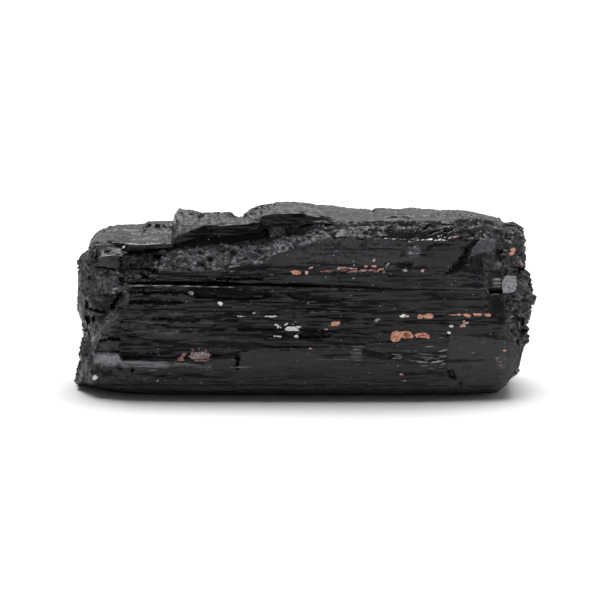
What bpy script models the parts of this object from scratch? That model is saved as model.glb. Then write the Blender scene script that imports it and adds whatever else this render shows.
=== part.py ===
"""A rough black tourmaline (schorl) crystal, lying on a prism face.

One natural solid, about 82 mm long: a bundle of parallel columns whose grown front face still carries its
long steps, with a stepped and broken top, two fractured ends and a flat face that it rests on.
Row frame: +X along the crystal's length, -Y to the grown front face, +Z up, origin at the centre of
its footprint. Sizes below are in millimetres, and the mesh is made in metres.
"""

import bmesh
import bpy
import numpy as np

NAME = "tourmaline_crystal"
MM = 0.001

# Driving dimensions, in millimetres.
LENGTH = 82.0
CENTRING = (0.4, 0.4)  # X and Y from the edges' own zero to the centre of the finished box
LOWEST_OVERHANG = 0.4  # what leans out past the foot stays this far off the ground
CORE = (-0.5, 14.0)  # Y and Z of the middle of both broken ends

# The long edges of the stone, from the front foot up the front, over the top and down the back.
# Each stop is (x, y, z); between two stops an edge runs straight.
EDGES = {
    "front_foot": [(-41, -0.5, 0), (-38, -2.5, 0), (-34.5, -6.5, 0), (-31, -8.5, 0), (-22, -9.6, 0),
                   (-9, -10, 0), (17, -10, 0), (29, -9.3, 0), (34, -7.5, 0), (36, -5, 0)],
    "front_crest": [(-39, -8, 2.2), (-37.5, -12.2, 2.6), (-30, -15, 3), (-21, -15.9, 3.2), (0, -16.3, 3.2),
                    (17, -16.3, 3.2), (24, -15.9, 3), (34.5, -13.6, 2.6), (38, -10.5, 2.6)],
    "band_top": [(-37.5, -12, 8.2), (-32.5, -15, 8.5), (-32, -15.2, 7.3), (-17.2, -15.9, 7.2),
                 (-16.4, -16, 7.9), (-13, -16.1, 8.1), (-8, -16.1, 9.6), (8, -16.1, 9.7),
                 (8.8, -16.1, 8.5), (17, -16, 7.3), (26, -15.6, 7), (36, -13.7, 7), (39, -11.5, 7)],
    "band_shelf": [(-37.5, -11.9, 8.5), (-32, -14.6, 7.9), (-17, -15.1, 7.8), (-13, -15.4, 8.6),
                   (-8, -15.8, 9.9), (8, -15.8, 10), (17, -15.3, 7.9), (24, -15.6, 7.5),
                   (36, -13.8, 7.5), (39, -11.6, 7.5)],
    "belly": [(-37, -11.8, 12), (-33.5, -14.4, 13), (-28, -15.3, 13.5), (0, -15.8, 13.5),
              (24, -15.5, 13.5), (35, -14.3, 13.5), (38, -11.5, 13.5)],
    "slot_lower_lip": [(-37, -11.5, 20.3), (-31.5, -14.5, 20.5), (-22, -15.8, 20.6), (-11, -15.9, 20.6),
                       (5, -15.6, 20.2), (17, -15.4, 19.7), (31, -14.5, 19.4), (36, -11, 19.4)],
    "slot_floor": [(-37, -11.4, 20.5), (-31.5, -14.1, 20.7), (-30, -13.2, 21), (-14, -13.2, 21),
                   (-10, -14.6, 20.9), (5, -14.9, 20.4), (17, -15.1, 19.9), (31, -14.3, 19.6), (36, -10.9, 19.6)],
    "slot_upper_lip": [(-37, -11.3, 20.9), (-31.5, -14, 21), (-29, -14.8, 21.2), (-22, -15.2, 21.2),
                       (-11, -15.3, 21.2), (5, -15.3, 20.8), (17, -15.3, 20.2), (31, -14.4, 19.9),
                       (36, -10.8, 19.9)],
    "face_top": [(-37, -11.8, 23), (-31, -13.8, 22), (-27, -14.5, 21.9), (-25.7, -14.7, 23),
                 (-21.5, -14.8, 24.2), (-19, -15, 23.4), (-14.5, -15, 23.3), (-8.5, -15, 24.5),
                 (-5, -15, 26.1), (-0.5, -15, 27.6), (4, -15, 28.9), (14, -15, 28.7),
                 (26.5, -14.3, 28.4), (31, -12.6, 28.4), (36, -9.2, 27)],
    "scree_top": [(-37, -12.6, 25), (-36, -13.6, 25.4), (-31.5, -13.4, 25.6), (-30.5, -10.6, 25.6),
                  (-25, -10.8, 25.9), (-22, -11, 26.3), (-17.5, -11.2, 26.6), (-10.5, -11.1, 26.7),
                  (-5, -9.8, 27.8), (-0.5, -9.5, 28.3), (2, -10.4, 29.4), (7.5, -13.4, 30.3), (17, -13.8, 30.3),
                  (26.5, -13.2, 30.1), (31, -10.6, 29.9), (36, -7, 28.6)],
    "top_rim": [(-37, -11.2, 27.8), (-33.5, -11.2, 27.9), (-30.5, -11.3, 27), (-23.2, -11, 27.2),
                (-22.6, -10.6, 28.2), (-20, -10.4, 29.5), (-17.5, -10.2, 30.5), (-7.8, -10, 31.1),
                (-7.1, -8.9, 32), (-0.5, -8.6, 32.4), (3, -8.6, 31.8), (7.5, -11.4, 31.7),
                (17, -12.4, 31.6), (26.5, -11.6, 31.6), (31, -8.6, 31.2), (36, -4.4, 29.6)],
    "ridge": [(-40, -2, 25), (-36.7, -1, 27.8), (-35.2, 2.5, 28.6), (-23.4, 3.5, 28.8), (-22.9, 1.5, 30.8),
              (-22.2, 0, 31.9), (-18, 0, 31.1), (-13, 0.5, 31), (-11.6, 2, 29.9), (-10.6, 3, 30),
              (-10, 3, 31.1), (-5, 3, 32.8), (-2.8, 3, 32.8), (4.7, 4, 31.9), (12.3, 5, 30.6),
              (13, 5, 31.2), (20.5, 5, 30.9), (26.5, 4, 31), (33.3, 2, 30.2), (35, 1, 30.1),
              (36, 1, 28.9), (39.4, 1, 28.4)],
    "back_shoulder": [(-38, 9.5, 24.5), (-30, 11, 26), (-18, 10, 27.8), (-9, 11.5, 27), (4, 12, 27.6),
                      (18, 11, 26.5), (30, 10, 26.8), (38, 7.5, 25.5)],
    "back_brow": [(-38, 12.4, 20), (-20, 14.2, 21.5), (-12, 14, 22.6), (6, 14.8, 22.4), (8, 14.4, 20.6),
                  (24, 14, 20.5), (38, 11.5, 20)],
    "back_waist": [(-38, 13.5, 13), (-24, 15.2, 13.5), (-4, 15.6, 12.5), (20, 15.4, 13.5), (38, 12.8, 12)],
    "back_keel": [(-38, 12, 5), (-20, 13.8, 5.6), (4, 14.4, 4.8), (24, 14, 5.4), (38, 11, 5)],
    "back_foot": [(-41, 7.5, 0), (-32, 9.8, 0), (-14, 11.2, 0), (6, 12, 0), (24, 11.2, 0), (36, 8, 0)],
}

# Faces between each edge and the next: how many strips, how many millimetres the columns step in
# and out of it, and how many millimetres its broken grains do.
FACES = {
    "front_foot": (4, 0.25, 0.1), "front_crest": (3, 0.35, 0.1), "band_top": (1, 0, 0),
    "band_shelf": (5, 0.5, 0.1), "belly": (6, 0.5, 0.1), "slot_lower_lip": (1, 0, 0),
    "slot_floor": (1, 0, 0), "slot_upper_lip": (4, 0.25, 0.1), "face_top": (5, 0.1, 0.7),
    "scree_top": (4, 0, 0.15), "top_rim": (10, 0.5, 0.6), "ridge": (7, 0.3, 0.8),
    "back_shoulder": (4, 0.5, 0.4), "back_brow": (6, 0.7, 0.1), "back_waist": (6, 0.7, 0.1),
    "back_keel": (4, 0.5, 0.2), "back_foot": (10, 0, 0),
}

# The two fractured ends: (z, x) of their outline nearest the front face, and further back.
LEFT_FRONT = [(0, -35), (5.8, -37.6), (8.3, -37.2), (10, -36.2), (12, -34.6), (14.7, -33), (18.8, -31.3),
              (22.6, -31.2), (23.6, -36.8), (28, -36.2)]
LEFT_BACK = [(0, -41), (4, -40.1), (9.7, -38.7), (14, -40.3), (21.7, -40.4), (24, -38.3), (26, -38),
             (27.4, -36.8), (29, -34.8)]
RIGHT_FRONT = [(0, 33), (1.8, 34.6), (3.5, 36.1), (5.5, 37.8), (9, 38.3), (12.6, 37), (19.7, 33.8), (23, 32.3),
               (28.5, 30.6)]
RIGHT_BACK = [(0, 34.6), (1.8, 36.2), (3.5, 38), (10, 39.4), (16, 40.4), (19.5, 40), (21, 38.9),
              (26.2, 38.2), (28.5, 38.4), (30, 35.4), (31, 33.5)]
LEFT_TURN, RIGHT_TURN = (-4.0, -14.5), (-6.0, -14.0)  # y where each end starts and finishes turning forward
BACK_TURN, BACK_RETREAT = (2.0, 15.0), 3.2  # y where the ends start to draw in at the back, and by how much

BODY_RINGS, END_RINGS = 45, 7
END_REACH = 0.28  # share of the length over which a ring turns from an end's slant to square

COLUMN_LENGTH, COLUMN_WIDTH = 24.0, 3.2
GRAIN = 3.4
END_BLOCK, END_BLOCK_STEP, END_BLOCK_REACH = 8.0, 1.2, 4  # their size, their relief, and rings they reach in


def hashed(cell, salt):
    """A fixed pseudo-random number from 0 to 1 for each lattice cell, by integer mixing."""
    h = cell.astype(np.int64) & 0xFFFFFFFF
    mixed = (h[..., 0] * 374761393 + h[..., 1] * 668265263 + h[..., 2] * 2246822519 + salt * 3266489917)
    mixed = mixed & 0xFFFFFFFF
    mixed = ((mixed ^ (mixed >> 13)) * 1274126177) & 0xFFFFFFFF
    return ((mixed ^ (mixed >> 16)) & 0xFFFFFF) / float(0x1000000)


def broken_cells(points, size, salt):
    """Offset, from -1 to 1, of the crystal cell that each point lies in.

    Space is shared out between seed points jittered in a lattice of the given size. Each cell has its
    own height and its own tilt, so that its piece of the surface is one flat facet.
    """
    scaled = points / np.asarray(size, float)
    base = np.floor(scaled)
    nearest = np.full(len(points), np.inf)
    offset = np.zeros(len(points))
    for step in np.ndindex(3, 3, 3):
        cell = base + (np.array(step) - 1)
        seed = cell + np.stack([hashed(cell, salt + k) for k in (1, 2, 3)], axis=-1)
        away = scaled - seed
        distance = (away ** 2).sum(axis=-1)
        tilt = np.stack([hashed(cell, salt + k) - 0.5 for k in (4, 5, 6)], axis=-1)
        facet = hashed(cell, salt + 7) * 2 - 1 + 1.2 * (away * tilt).sum(axis=-1)
        closer = distance < nearest
        nearest = np.where(closer, distance, nearest)
        offset = np.where(closer, facet, offset)
    return offset


def ramp(value, start, finish):
    """0 before start, 1 after finish, and a straight run between."""
    return np.clip((value - start) / (finish - start), 0, 1)


def end_plane(y, z, front, back, turn, outward):
    """X of a fractured end: its back outline, turned towards its front outline, and drawn in behind."""
    depth, reach = np.array(back).T, np.array(front).T
    rear = np.interp(z, depth[0], depth[1])
    fore = np.interp(z, reach[0], reach[1])
    turned = rear + (fore - rear) * ramp(y, *turn) ** 1.4
    return turned - outward * BACK_RETREAT * ramp(y, *BACK_TURN) ** 2


def left_end(y, z):
    return end_plane(y, z, LEFT_FRONT, LEFT_BACK, LEFT_TURN, -1)


def right_end(y, z):
    return end_plane(y, z, RIGHT_FRONT, RIGHT_BACK, RIGHT_TURN, 1)


def outline(x, strip):
    """Y and Z of the stone's outline at station x, for each strip counted in edges from the front foot."""
    names = list(EDGES)
    corner = np.floor(strip).astype(int)
    share = strip - corner
    found = np.zeros(x.shape + (2,))
    for k, name in enumerate(names):
        here, there = np.array(EDGES[name]).T, np.array(EDGES[names[(k + 1) % len(names)]]).T
        for axis in (0, 1):
            low = np.interp(x, here[0], here[axis + 1])
            high = np.interp(x, there[0], there[axis + 1])
            value = low + (high - low) * share
            found[..., axis] = np.where(corner == k, value, found[..., axis])
    return found


def strips():
    """Position of each column of the grid, in edges from the front foot."""
    return np.concatenate([k + np.arange(FACES[name][0]) / FACES[name][0] for k, name in enumerate(EDGES)])


def base_grid():
    """The stone before it is broken up: rings from the left end's middle to the right end's middle."""
    strip = strips()
    along = np.linspace(0, 1, BODY_RINGS)[:, None]
    straight = (along - 0.5) * LENGTH
    x = np.broadcast_to(straight, (BODY_RINGS, len(strip))).copy()
    for _ in range(8):
        yz = outline(x, np.broadcast_to(strip, x.shape))
        left = left_end(yz[0, :, 0], yz[0, :, 1])
        right = right_end(yz[-1, :, 0], yz[-1, :, 1])
        x = (straight + (left + LENGTH / 2) * (1 - ramp(along, 0, END_REACH))
             + (right - LENGTH / 2) * ramp(along, 1 - END_REACH, 1))
    body = np.concatenate([x[..., None], outline(x, np.broadcast_to(strip, x.shape))], axis=-1)
    inner = (np.arange(1, END_RINGS + 1) / (END_RINGS + 1))[:, None]
    caps = []
    for ring, surface in ((body[0], left_end), (body[-1], right_end)):
        y = CORE[0] + (ring[:, 1] - CORE[0]) * inner
        z = CORE[1] + (ring[:, 2] - CORE[1]) * inner
        lift = (ring[:, 0] - surface(ring[:, 1], ring[:, 2])) * inner ** 4
        caps.append(np.stack([surface(y, z) + lift, y, z], axis=-1))
    return np.concatenate([caps[0], body, caps[1][::-1]])


def facing(grid):
    """Outward unit normals of the grid, from the directions to each point's neighbours."""
    along = np.gradient(grid, axis=0)
    around = np.roll(grid, -1, axis=1) - np.roll(grid, 1, axis=1)
    normal = np.cross(along, around)
    return normal / np.maximum(np.linalg.norm(normal, axis=-1, keepdims=True), 1e-9)


def broken_grid():
    """The base grid with its columns stepped and its fractures broken into grains, the foot kept flat."""
    grid = base_grid()
    shape = grid.shape[:2]
    points = grid.reshape(-1, 3)
    column = broken_cells(points, (COLUMN_LENGTH, COLUMN_WIDTH, COLUMN_WIDTH), 10).reshape(shape)
    grain = broken_cells(points, (1.5 * GRAIN, GRAIN, GRAIN), 30).reshape(shape)
    block = broken_cells(points, (END_BLOCK, END_BLOCK, END_BLOCK), 50).reshape(shape)
    edge = np.floor(strips()).astype(int)
    step_depth, grain_depth = np.array([face[1:] for face in FACES.values()])[edge].T
    from_left = np.arange(len(grid))[:, None] - END_RINGS
    from_right = BODY_RINGS - 1 - from_left
    near_left, near_right = (1 - ramp(ring, 0, END_BLOCK_REACH) for ring in (from_left, from_right))
    on_side = (1 - near_left) * (1 - near_right)
    moved = grid + facing(grid) * (on_side * (step_depth * column + grain_depth * grain))[..., None]
    off_pole = ramp(np.minimum(from_left, from_right), -END_RINGS - 1, -END_RINGS + 3)
    moved[..., 0] += END_BLOCK_STEP * block * (near_right - near_left) * off_pole
    foot = grid[..., 2] < 0.01
    moved[..., 1] = np.where(foot, grid[..., 1], moved[..., 1])
    moved[..., 2] = np.where(foot, 0, np.maximum(moved[..., 2], LOWEST_OVERHANG))
    return moved


def crystal_mesh():
    """The stone's mesh: a loft through the grid's rings, closed by a fan at the middle of each end."""
    grid = broken_grid() + np.array([*CENTRING, 0])
    rings, columns = grid.shape[:2]
    poles = [grid[0].mean(axis=0), grid[-1].mean(axis=0)]
    bm = bmesh.new()
    points = [[bm.verts.new(point * MM) for point in ring] for ring in grid]
    left_pole, right_pole = (bm.verts.new(pole * MM) for pole in poles)
    for c in range(columns):
        after = (c + 1) % columns
        for r in range(rings - 1):
            bm.faces.new((points[r][c], points[r + 1][c], points[r + 1][after], points[r][after]))
        bm.faces.new((left_pole, points[0][c], points[0][after]))
        bm.faces.new((right_pole, points[-1][after], points[-1][c]))
    bmesh.ops.triangulate(bm, faces=bm.faces[:], quad_method="SHORT_EDGE")
    mesh = bpy.data.meshes.new(NAME)
    bm.to_mesh(mesh)
    bm.free()
    return mesh


def black_schorl():
    """Black tourmaline: nearly black, opaque, with a glassy to resinous lustre."""
    material = bpy.data.materials.new("black_schorl")
    material.use_nodes = True
    shader = material.node_tree.nodes["Principled BSDF"]
    shader.inputs["Base Color"].default_value = (0.02, 0.021, 0.022, 1)
    shader.inputs["Roughness"].default_value = 0.38
    shader.inputs["Metallic"].default_value = 0
    return material


for leftover in list(bpy.data.objects):
    bpy.data.objects.remove(leftover)

collection = bpy.data.collections.new(NAME)
bpy.context.scene.collection.children.link(collection)
crystal = bpy.data.objects.new(NAME, crystal_mesh())
crystal.data.materials.append(black_schorl())
collection.objects.link(crystal)
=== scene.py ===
import math

import bpy
import numpy as np
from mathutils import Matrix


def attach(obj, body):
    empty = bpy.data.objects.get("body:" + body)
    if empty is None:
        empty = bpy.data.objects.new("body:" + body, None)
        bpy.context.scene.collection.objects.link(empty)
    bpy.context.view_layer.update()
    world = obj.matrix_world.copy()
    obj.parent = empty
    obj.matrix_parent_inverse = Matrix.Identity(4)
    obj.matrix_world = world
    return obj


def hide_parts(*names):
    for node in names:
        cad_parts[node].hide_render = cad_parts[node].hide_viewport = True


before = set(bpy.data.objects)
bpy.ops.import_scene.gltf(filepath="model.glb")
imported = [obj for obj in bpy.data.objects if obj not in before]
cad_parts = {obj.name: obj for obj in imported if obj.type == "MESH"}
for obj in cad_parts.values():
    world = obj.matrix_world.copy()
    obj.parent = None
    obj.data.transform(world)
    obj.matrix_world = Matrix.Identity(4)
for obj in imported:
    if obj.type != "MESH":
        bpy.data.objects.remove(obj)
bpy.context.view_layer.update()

# ---------------------------------------------------------------------------------------------
# The stone: one rough crystal of black tourmaline, a bundle of parallel columns that grew as one.
# Its front is a grown face with long lamellae, its top and ends are broken, and it lies on a break.
# The shape is one closed sheet, laid out along and around the crystal, in millimetres.
# ---------------------------------------------------------------------------------------------

MM = 0.001
LENGTH = 82.0
CENTRING = (0.4, 0.4)  # X and Y from the edges' own zero to the frame's
CORE = (-0.5, 14.0)  # Y and Z of the middle of both broken ends

# The long edges, from the front foot up the front, over the top and down the back.
# Each stop is (x, y, z); between two stops an edge runs straight.
EDGES = {
    "front_foot": [(-41, -0.5, 0), (-38, -2.5, 0), (-34.5, -6.5, 0), (-31, -8.5, 0), (-22, -9.6, 0),
                   (-9, -10, 0), (17, -10, 0), (29, -9.3, 0), (34, -7.5, 0), (36, -5, 0)],
    "front_crest": [(-39, -8, 2.2), (-37.5, -12.2, 2.6), (-30, -15, 3), (-21, -15.9, 3.2), (0, -16.3, 3.2),
                    (17, -16.3, 3.2), (24, -15.9, 3), (34.5, -13.6, 2.6), (38, -10.5, 2.6)],
    "band_top": [(-37.5, -12, 8.2), (-32.5, -15, 8.5), (-32, -15.2, 7.3), (-17.2, -15.9, 7.2),
                 (-16.4, -16, 7.9), (-13, -16.1, 8.1), (-8, -16.1, 9.6), (8, -16.1, 9.7),
                 (8.8, -16.1, 8.5), (17, -16, 7.3), (26, -15.6, 7), (36, -13.7, 7), (39, -11.5, 7)],
    "band_shelf": [(-37.5, -11.9, 8.5), (-32, -14.6, 7.9), (-17, -15.1, 7.8), (-13, -15.4, 8.6),
                   (-8, -15.8, 9.9), (8, -15.8, 10), (17, -15.3, 7.9), (24, -15.6, 7.5),
                   (36, -13.8, 7.5), (39, -11.6, 7.5)],
    "belly": [(-37, -11.8, 12), (-33.5, -14.4, 13), (-28, -15.3, 13.5), (0, -15.8, 13.5),
              (24, -15.5, 13.5), (35, -14.3, 13.5), (38, -11.5, 13.5)],
    "slot_lower_lip": [(-37, -11.5, 20.3), (-31.5, -14.5, 20.5), (-22, -15.8, 20.6), (-11, -15.9, 20.6),
                       (5, -15.6, 20.2), (17, -15.4, 19.7), (31, -14.5, 19.4), (36, -11, 19.4)],
    "slot_floor": [(-37, -11.4, 20.5), (-31.5, -14.1, 20.7), (-30, -13.2, 21), (-14, -13.2, 21),
                   (-10, -14.6, 20.9), (5, -14.9, 20.4), (17, -15.1, 19.9), (31, -14.3, 19.6),
                   (36, -10.9, 19.6)],
    "slot_upper_lip": [(-37, -11.3, 20.9), (-31.5, -14, 21), (-29, -14.8, 21.2), (-22, -15.2, 21.2),
                       (-11, -15.3, 21.2), (5, -15.3, 20.8), (17, -15.3, 20.2), (31, -14.4, 19.9),
                       (36, -10.8, 19.9)],
    "face_top": [(-37, -11.8, 23), (-31, -13.8, 22), (-27, -14.5, 21.9), (-25.7, -14.7, 23),
                 (-21.5, -14.8, 24.2), (-19, -15, 23.4), (-14.5, -15, 23.3), (-8.5, -15, 24.5),
                 (-5, -15, 26.1), (-0.5, -15, 27.6), (4, -15, 28.9), (14, -15, 28.7),
                 (26.5, -14.3, 28.4), (31, -12.6, 28.4), (36, -9.2, 27)],
    "scree_top": [(-37, -12.6, 25), (-36, -13.6, 25.4), (-31.5, -13.4, 25.6), (-30.5, -10.6, 25.6),
                  (-25, -10.8, 25.9), (-22, -11, 26.3), (-17.5, -11.2, 26.6), (-10.5, -11.1, 26.7),
                  (-5, -9.8, 27.8), (-0.5, -9.5, 28.3), (2, -10.4, 29.4), (7.5, -13.4, 30.3),
                  (17, -13.8, 30.3), (26.5, -13.2, 30.1), (31, -10.6, 29.9), (36, -7, 28.6)],
    "top_rim": [(-37, -11.2, 27.8), (-33.5, -11.2, 27.9), (-30.5, -11.3, 27), (-23.2, -11, 27.2),
                (-22.6, -10.6, 28.2), (-20, -10.4, 29.5), (-17.5, -10.2, 30.5), (-7.8, -10, 31.1),
                (-7.1, -8.9, 32), (-0.5, -8.6, 32.4), (3, -8.6, 31.8), (7.5, -11.4, 31.7),
                (17, -12.4, 31.6), (26.5, -11.6, 31.6), (31, -8.6, 31.2), (36, -4.4, 29.6)],
    "ridge": [(-40, -2, 25), (-36.7, -1, 27.8), (-35.2, 2.5, 28.6), (-23.4, 3.5, 28.8), (-22.9, 1.5, 30.8),
              (-22.2, 0, 31.9), (-18, 0, 31.1), (-13, 0.5, 31), (-11.6, 2, 29.9), (-10.6, 3, 30),
              (-10, 3, 31.1), (-5, 3, 32.8), (-2.8, 3, 32.8), (4.7, 4, 31.9), (12.3, 5, 30.6),
              (13, 5, 31.2), (20.5, 5, 30.9), (26.5, 4, 31), (33.3, 2, 30.2), (35, 1, 30.1),
              (36, 1, 28.9), (39.4, 1, 28.4)],
    "back_shoulder": [(-38, 9.5, 24.5), (-30, 11, 26), (-18, 10, 27.8), (-9, 11.5, 27), (4, 12, 27.6),
                      (18, 11, 26.5), (30, 10, 26.8), (38, 7.5, 25.5)],
    "back_brow": [(-38, 12.4, 20), (-20, 14.2, 21.5), (-12, 14, 22.6), (6, 14.8, 22.4), (8, 14.4, 20.6),
                  (24, 14, 20.5), (38, 11.5, 20)],
    "back_waist": [(-38, 13.5, 13), (-24, 15.2, 13.5), (-4, 15.6, 12.5), (20, 15.4, 13.5), (38, 12.8, 12)],
    "back_keel": [(-38, 12, 5), (-20, 13.8, 5.6), (4, 14.4, 4.8), (24, 14, 5.4), (38, 11, 5)],
    "back_foot": [(-41, 7.5, 0), (-32, 9.8, 0), (-14, 11.2, 0), (6, 12, 0), (24, 11.2, 0), (36, 8, 0)],
}

# The face between each edge and the next: strips across it, then the relief in millimetres of its
# broad lamellae and of its needles, and how crushed it is, from 0 to 1.
FACES = {
    "front_foot": (14, 0.1, 0.05, 0.0), "front_crest": (13, 0.14, 0.06, 0.0),
    "band_top": (3, 0.0, 0.05, 0.0), "band_shelf": (20, 0.24, 0.15, 0.0),
    "belly": (31, 0.2, 0.15, 0.0), "slot_lower_lip": (2, 0.0, 0.0, 0.0),
    "slot_floor": (2, 0.0, 0.0, 0.0), "slot_upper_lip": (32, 0.16, 0.1, 0.0),
    "face_top": (20, 0.05, 0.05, 0.9), "scree_top": (12, 0.05, 0.05, 0.1),
    "top_rim": (32, 0.24, 0.14, 0.25), "ridge": (20, 0.28, 0.14, 0.35),
    "back_shoulder": (10, 0.4, 0.2, 0.3), "back_brow": (13, 0.55, 0.25, 0.0),
    "back_waist": (13, 0.55, 0.25, 0.0), "back_keel": (9, 0.4, 0.2, 0.1),
    "back_foot": (14, 0.0, 0.0, 0.3),
}

# The two broken ends: (z, x) of their outline nearest the front face, and further back.
LEFT_FRONT = [(0, -35), (5.8, -37.6), (8.3, -37.2), (10, -36.2), (12, -34.6), (14.7, -33), (18.8, -31.3),
              (22.6, -31.2), (23.6, -36.8), (28, -36.2)]
LEFT_BACK = [(0, -41), (4, -40.1), (9.7, -38.7), (14, -40.3), (21.7, -40.4), (24, -38.3), (26, -38),
             (27.4, -36.8), (29, -34.8)]
RIGHT_FRONT = [(0, 33), (1.8, 34.6), (3.5, 36.1), (5.5, 37.8), (9, 38.3), (12.6, 37), (19.7, 33.8),
               (23, 32.3), (28.5, 30.6)]
RIGHT_BACK = [(0, 34.6), (1.8, 36.2), (3.5, 38), (10, 39.4), (16, 40.4), (19.5, 40), (21, 38.9),
              (26.2, 38.2), (28.5, 38.4), (30, 35.4), (31, 33.5)]
LEFT_TURN, RIGHT_TURN = (-4.0, -14.5), (-6.0, -14.0)  # y where each end starts and finishes turning forward
BACK_TURN, BACK_RETREAT = (2.0, 15.0), 3.2  # y over which the ends draw in at the back, and by how much

BODY_RINGS, END_RINGS = 304, 38
END_REACH = 0.28  # share of the length over which a ring turns from an end's slant to square
END_FADE = 14  # rings over which the body's relief gives way to an end's


def hashed(cell, salt):
    """A fixed pseudo-random number from 0 to 1 for each lattice cell, by integer mixing."""
    h = cell.astype(np.int64) & 0xFFFFFFFF
    mixed = (h[..., 0] * 374761393 + h[..., 1] * 668265263 + h[..., 2] * 2246822519 + salt * 3266489917)
    mixed = mixed & 0xFFFFFFFF
    mixed = ((mixed ^ (mixed >> 13)) * 1274126177) & 0xFFFFFFFF
    return ((mixed ^ (mixed >> 16)) & 0xFFFFFF) / float(0x1000000)


def broken_cells(points, size, salt, slant=1.2):
    """Offset, from -1 to 1, of the crystal cell that each point lies in, its way in, and the cell's lot.

    Space is shared out between seed points jittered in a lattice of the given size. A cell's offset is
    its own height plus its own slope times the way from its seed, so that its piece of the surface is
    one flat facet. The way in is the distance to the second nearest seed less that to the nearest, and
    the lot is the cell's own random number.
    """
    scaled = points / np.asarray(size, float)
    base = np.floor(scaled)
    nearest = np.full(points.shape[:-1], np.inf)
    second = nearest.copy()
    offset = np.zeros(points.shape[:-1])
    lot = offset.copy()
    for step in np.ndindex(3, 3, 3):
        cell = base + (np.array(step) - 1)
        away = scaled - cell - np.stack([hashed(cell, salt + k) for k in (1, 2, 3)], axis=-1)
        distance = np.sqrt((away ** 2).sum(axis=-1))
        tilt = np.stack([hashed(cell, salt + k) - 0.5 for k in (4, 5, 6)], axis=-1)
        facet = hashed(cell, salt + 7) * 2 - 1 + 2 * slant * (away * tilt).sum(axis=-1)
        closer = distance < nearest
        second = np.where(closer, nearest, np.minimum(second, distance))
        nearest = np.where(closer, distance, nearest)
        offset = np.where(closer, facet, offset)
        lot = np.where(closer, hashed(cell, salt + 8), lot)
    return offset, second - nearest, lot


def drawn_out(values, reach):
    """The values averaged over this many rings to either side, so that a lamella's ends taper."""
    padded = np.pad(values, ((reach + 1, reach), (0, 0)), mode="edge")
    total = np.cumsum(padded, axis=0)
    return (total[2 * reach + 1:] - total[:-2 * reach - 1]) / (2 * reach + 1)


def ramp(value, start, finish):
    """0 before start, 1 after finish, and a straight run between."""
    return np.clip((value - start) / (finish - start), 0, 1)


def end_plane(y, z, front, back, turn, outward):
    """X of a broken end: its back outline, turned towards its front outline, and drawn in behind."""
    rear = np.interp(z, *np.array(back).T)
    fore = np.interp(z, *np.array(front).T)
    turned = rear + (fore - rear) * ramp(y, *turn) ** 1.4
    return turned - outward * BACK_RETREAT * ramp(y, *BACK_TURN) ** 2


def left_end(y, z):
    """X of the left end at each y and z."""
    return end_plane(y, z, LEFT_FRONT, LEFT_BACK, LEFT_TURN, -1)


def right_end(y, z):
    """X of the right end at each y and z."""
    return end_plane(y, z, RIGHT_FRONT, RIGHT_BACK, RIGHT_TURN, 1)


strip = np.concatenate([k + np.arange(face[0]) / face[0] for k, face in enumerate(FACES.values())])
edge_of_strip = np.floor(strip).astype(int)
COLUMNS = len(strip)


def outline(x):
    """Y and Z of the stone's outline at station x, one column of x for each strip around the stone.

    Each point is the two edges that it lies between, taken at its x and mixed by its share of the way.
    """
    found = np.zeros(x.shape + (2,))
    names = list(EDGES)
    for k, name in enumerate(names):
        own = edge_of_strip == k
        here, there = np.array(EDGES[name]).T, np.array(EDGES[names[(k + 1) % len(names)]]).T
        share = strip[own] - k
        for axis in (0, 1):
            low = np.interp(x[:, own], here[0], here[axis + 1])
            high = np.interp(x[:, own], there[0], there[axis + 1])
            found[:, own, axis] = low + (high - low) * share
    return found


def base_grid():
    """The stone before it is broken up: rings from the left end's middle to the right end's middle.

    A ring's x is its straight station, plus the slant of the nearer end, which fades along the body. The
    slant depends on the outline and the outline on x, so ten rounds let the two settle.
    The rings of an end are its outer ring shrunk towards the core and laid on the end's surface.
    """
    along = np.linspace(0, 1, BODY_RINGS)[:, None]
    straight = (along - 0.5) * LENGTH
    x = np.broadcast_to(straight, (BODY_RINGS, COLUMNS)).copy()
    for _ in range(10):
        yz = outline(x)
        left = left_end(yz[0, :, 0], yz[0, :, 1])
        right = right_end(yz[-1, :, 0], yz[-1, :, 1])
        x = (straight + (left + LENGTH / 2) * (1 - ramp(along, 0, END_REACH))
             + (right - LENGTH / 2) * ramp(along, 1 - END_REACH, 1))
    body = np.concatenate([x[..., None], outline(x)], axis=-1)
    inner = (np.arange(1, END_RINGS + 1) / (END_RINGS + 1))[:, None]
    caps = []
    for ring, surface in ((body[0], left_end), (body[-1], right_end)):
        y = CORE[0] + (ring[:, 1] - CORE[0]) * inner
        z = CORE[1] + (ring[:, 2] - CORE[1]) * inner
        lift = (ring[:, 0] - surface(ring[:, 1], ring[:, 2])) * inner ** 4
        caps.append(np.stack([surface(y, z) + lift, y, z], axis=-1))
    return np.concatenate([caps[0], body, caps[1][::-1]])


def facing(grid):
    """Outward unit normals of the grid, from the directions to each point's neighbours."""
    along = np.gradient(grid, axis=0)
    around = np.roll(grid, -1, axis=1) - np.roll(grid, 1, axis=1)
    normal = np.cross(along, around)
    return normal / np.maximum(np.linalg.norm(normal, axis=-1, keepdims=True), 1e-9)


grid = base_grid()
x, y, z = np.moveaxis(grid, -1, 0)
ring = np.arange(len(grid))[:, None] - END_RINGS
on_left = 1 - ramp(ring, 0, END_FADE)
on_right = 1 - ramp(BODY_RINGS - 1 - ring, 0, END_FADE)
on_side = (1 - on_left) * (1 - on_right)


def strips_between(first, last):
    """True for the strips between two places around the stone.

    Places count the edges in their order, so that 9.5 is half way from scree_top to top_rim.
    """
    return ((strip > first) & (strip < last))[None, :]


at_front = strips_between(0, 9.5)

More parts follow.
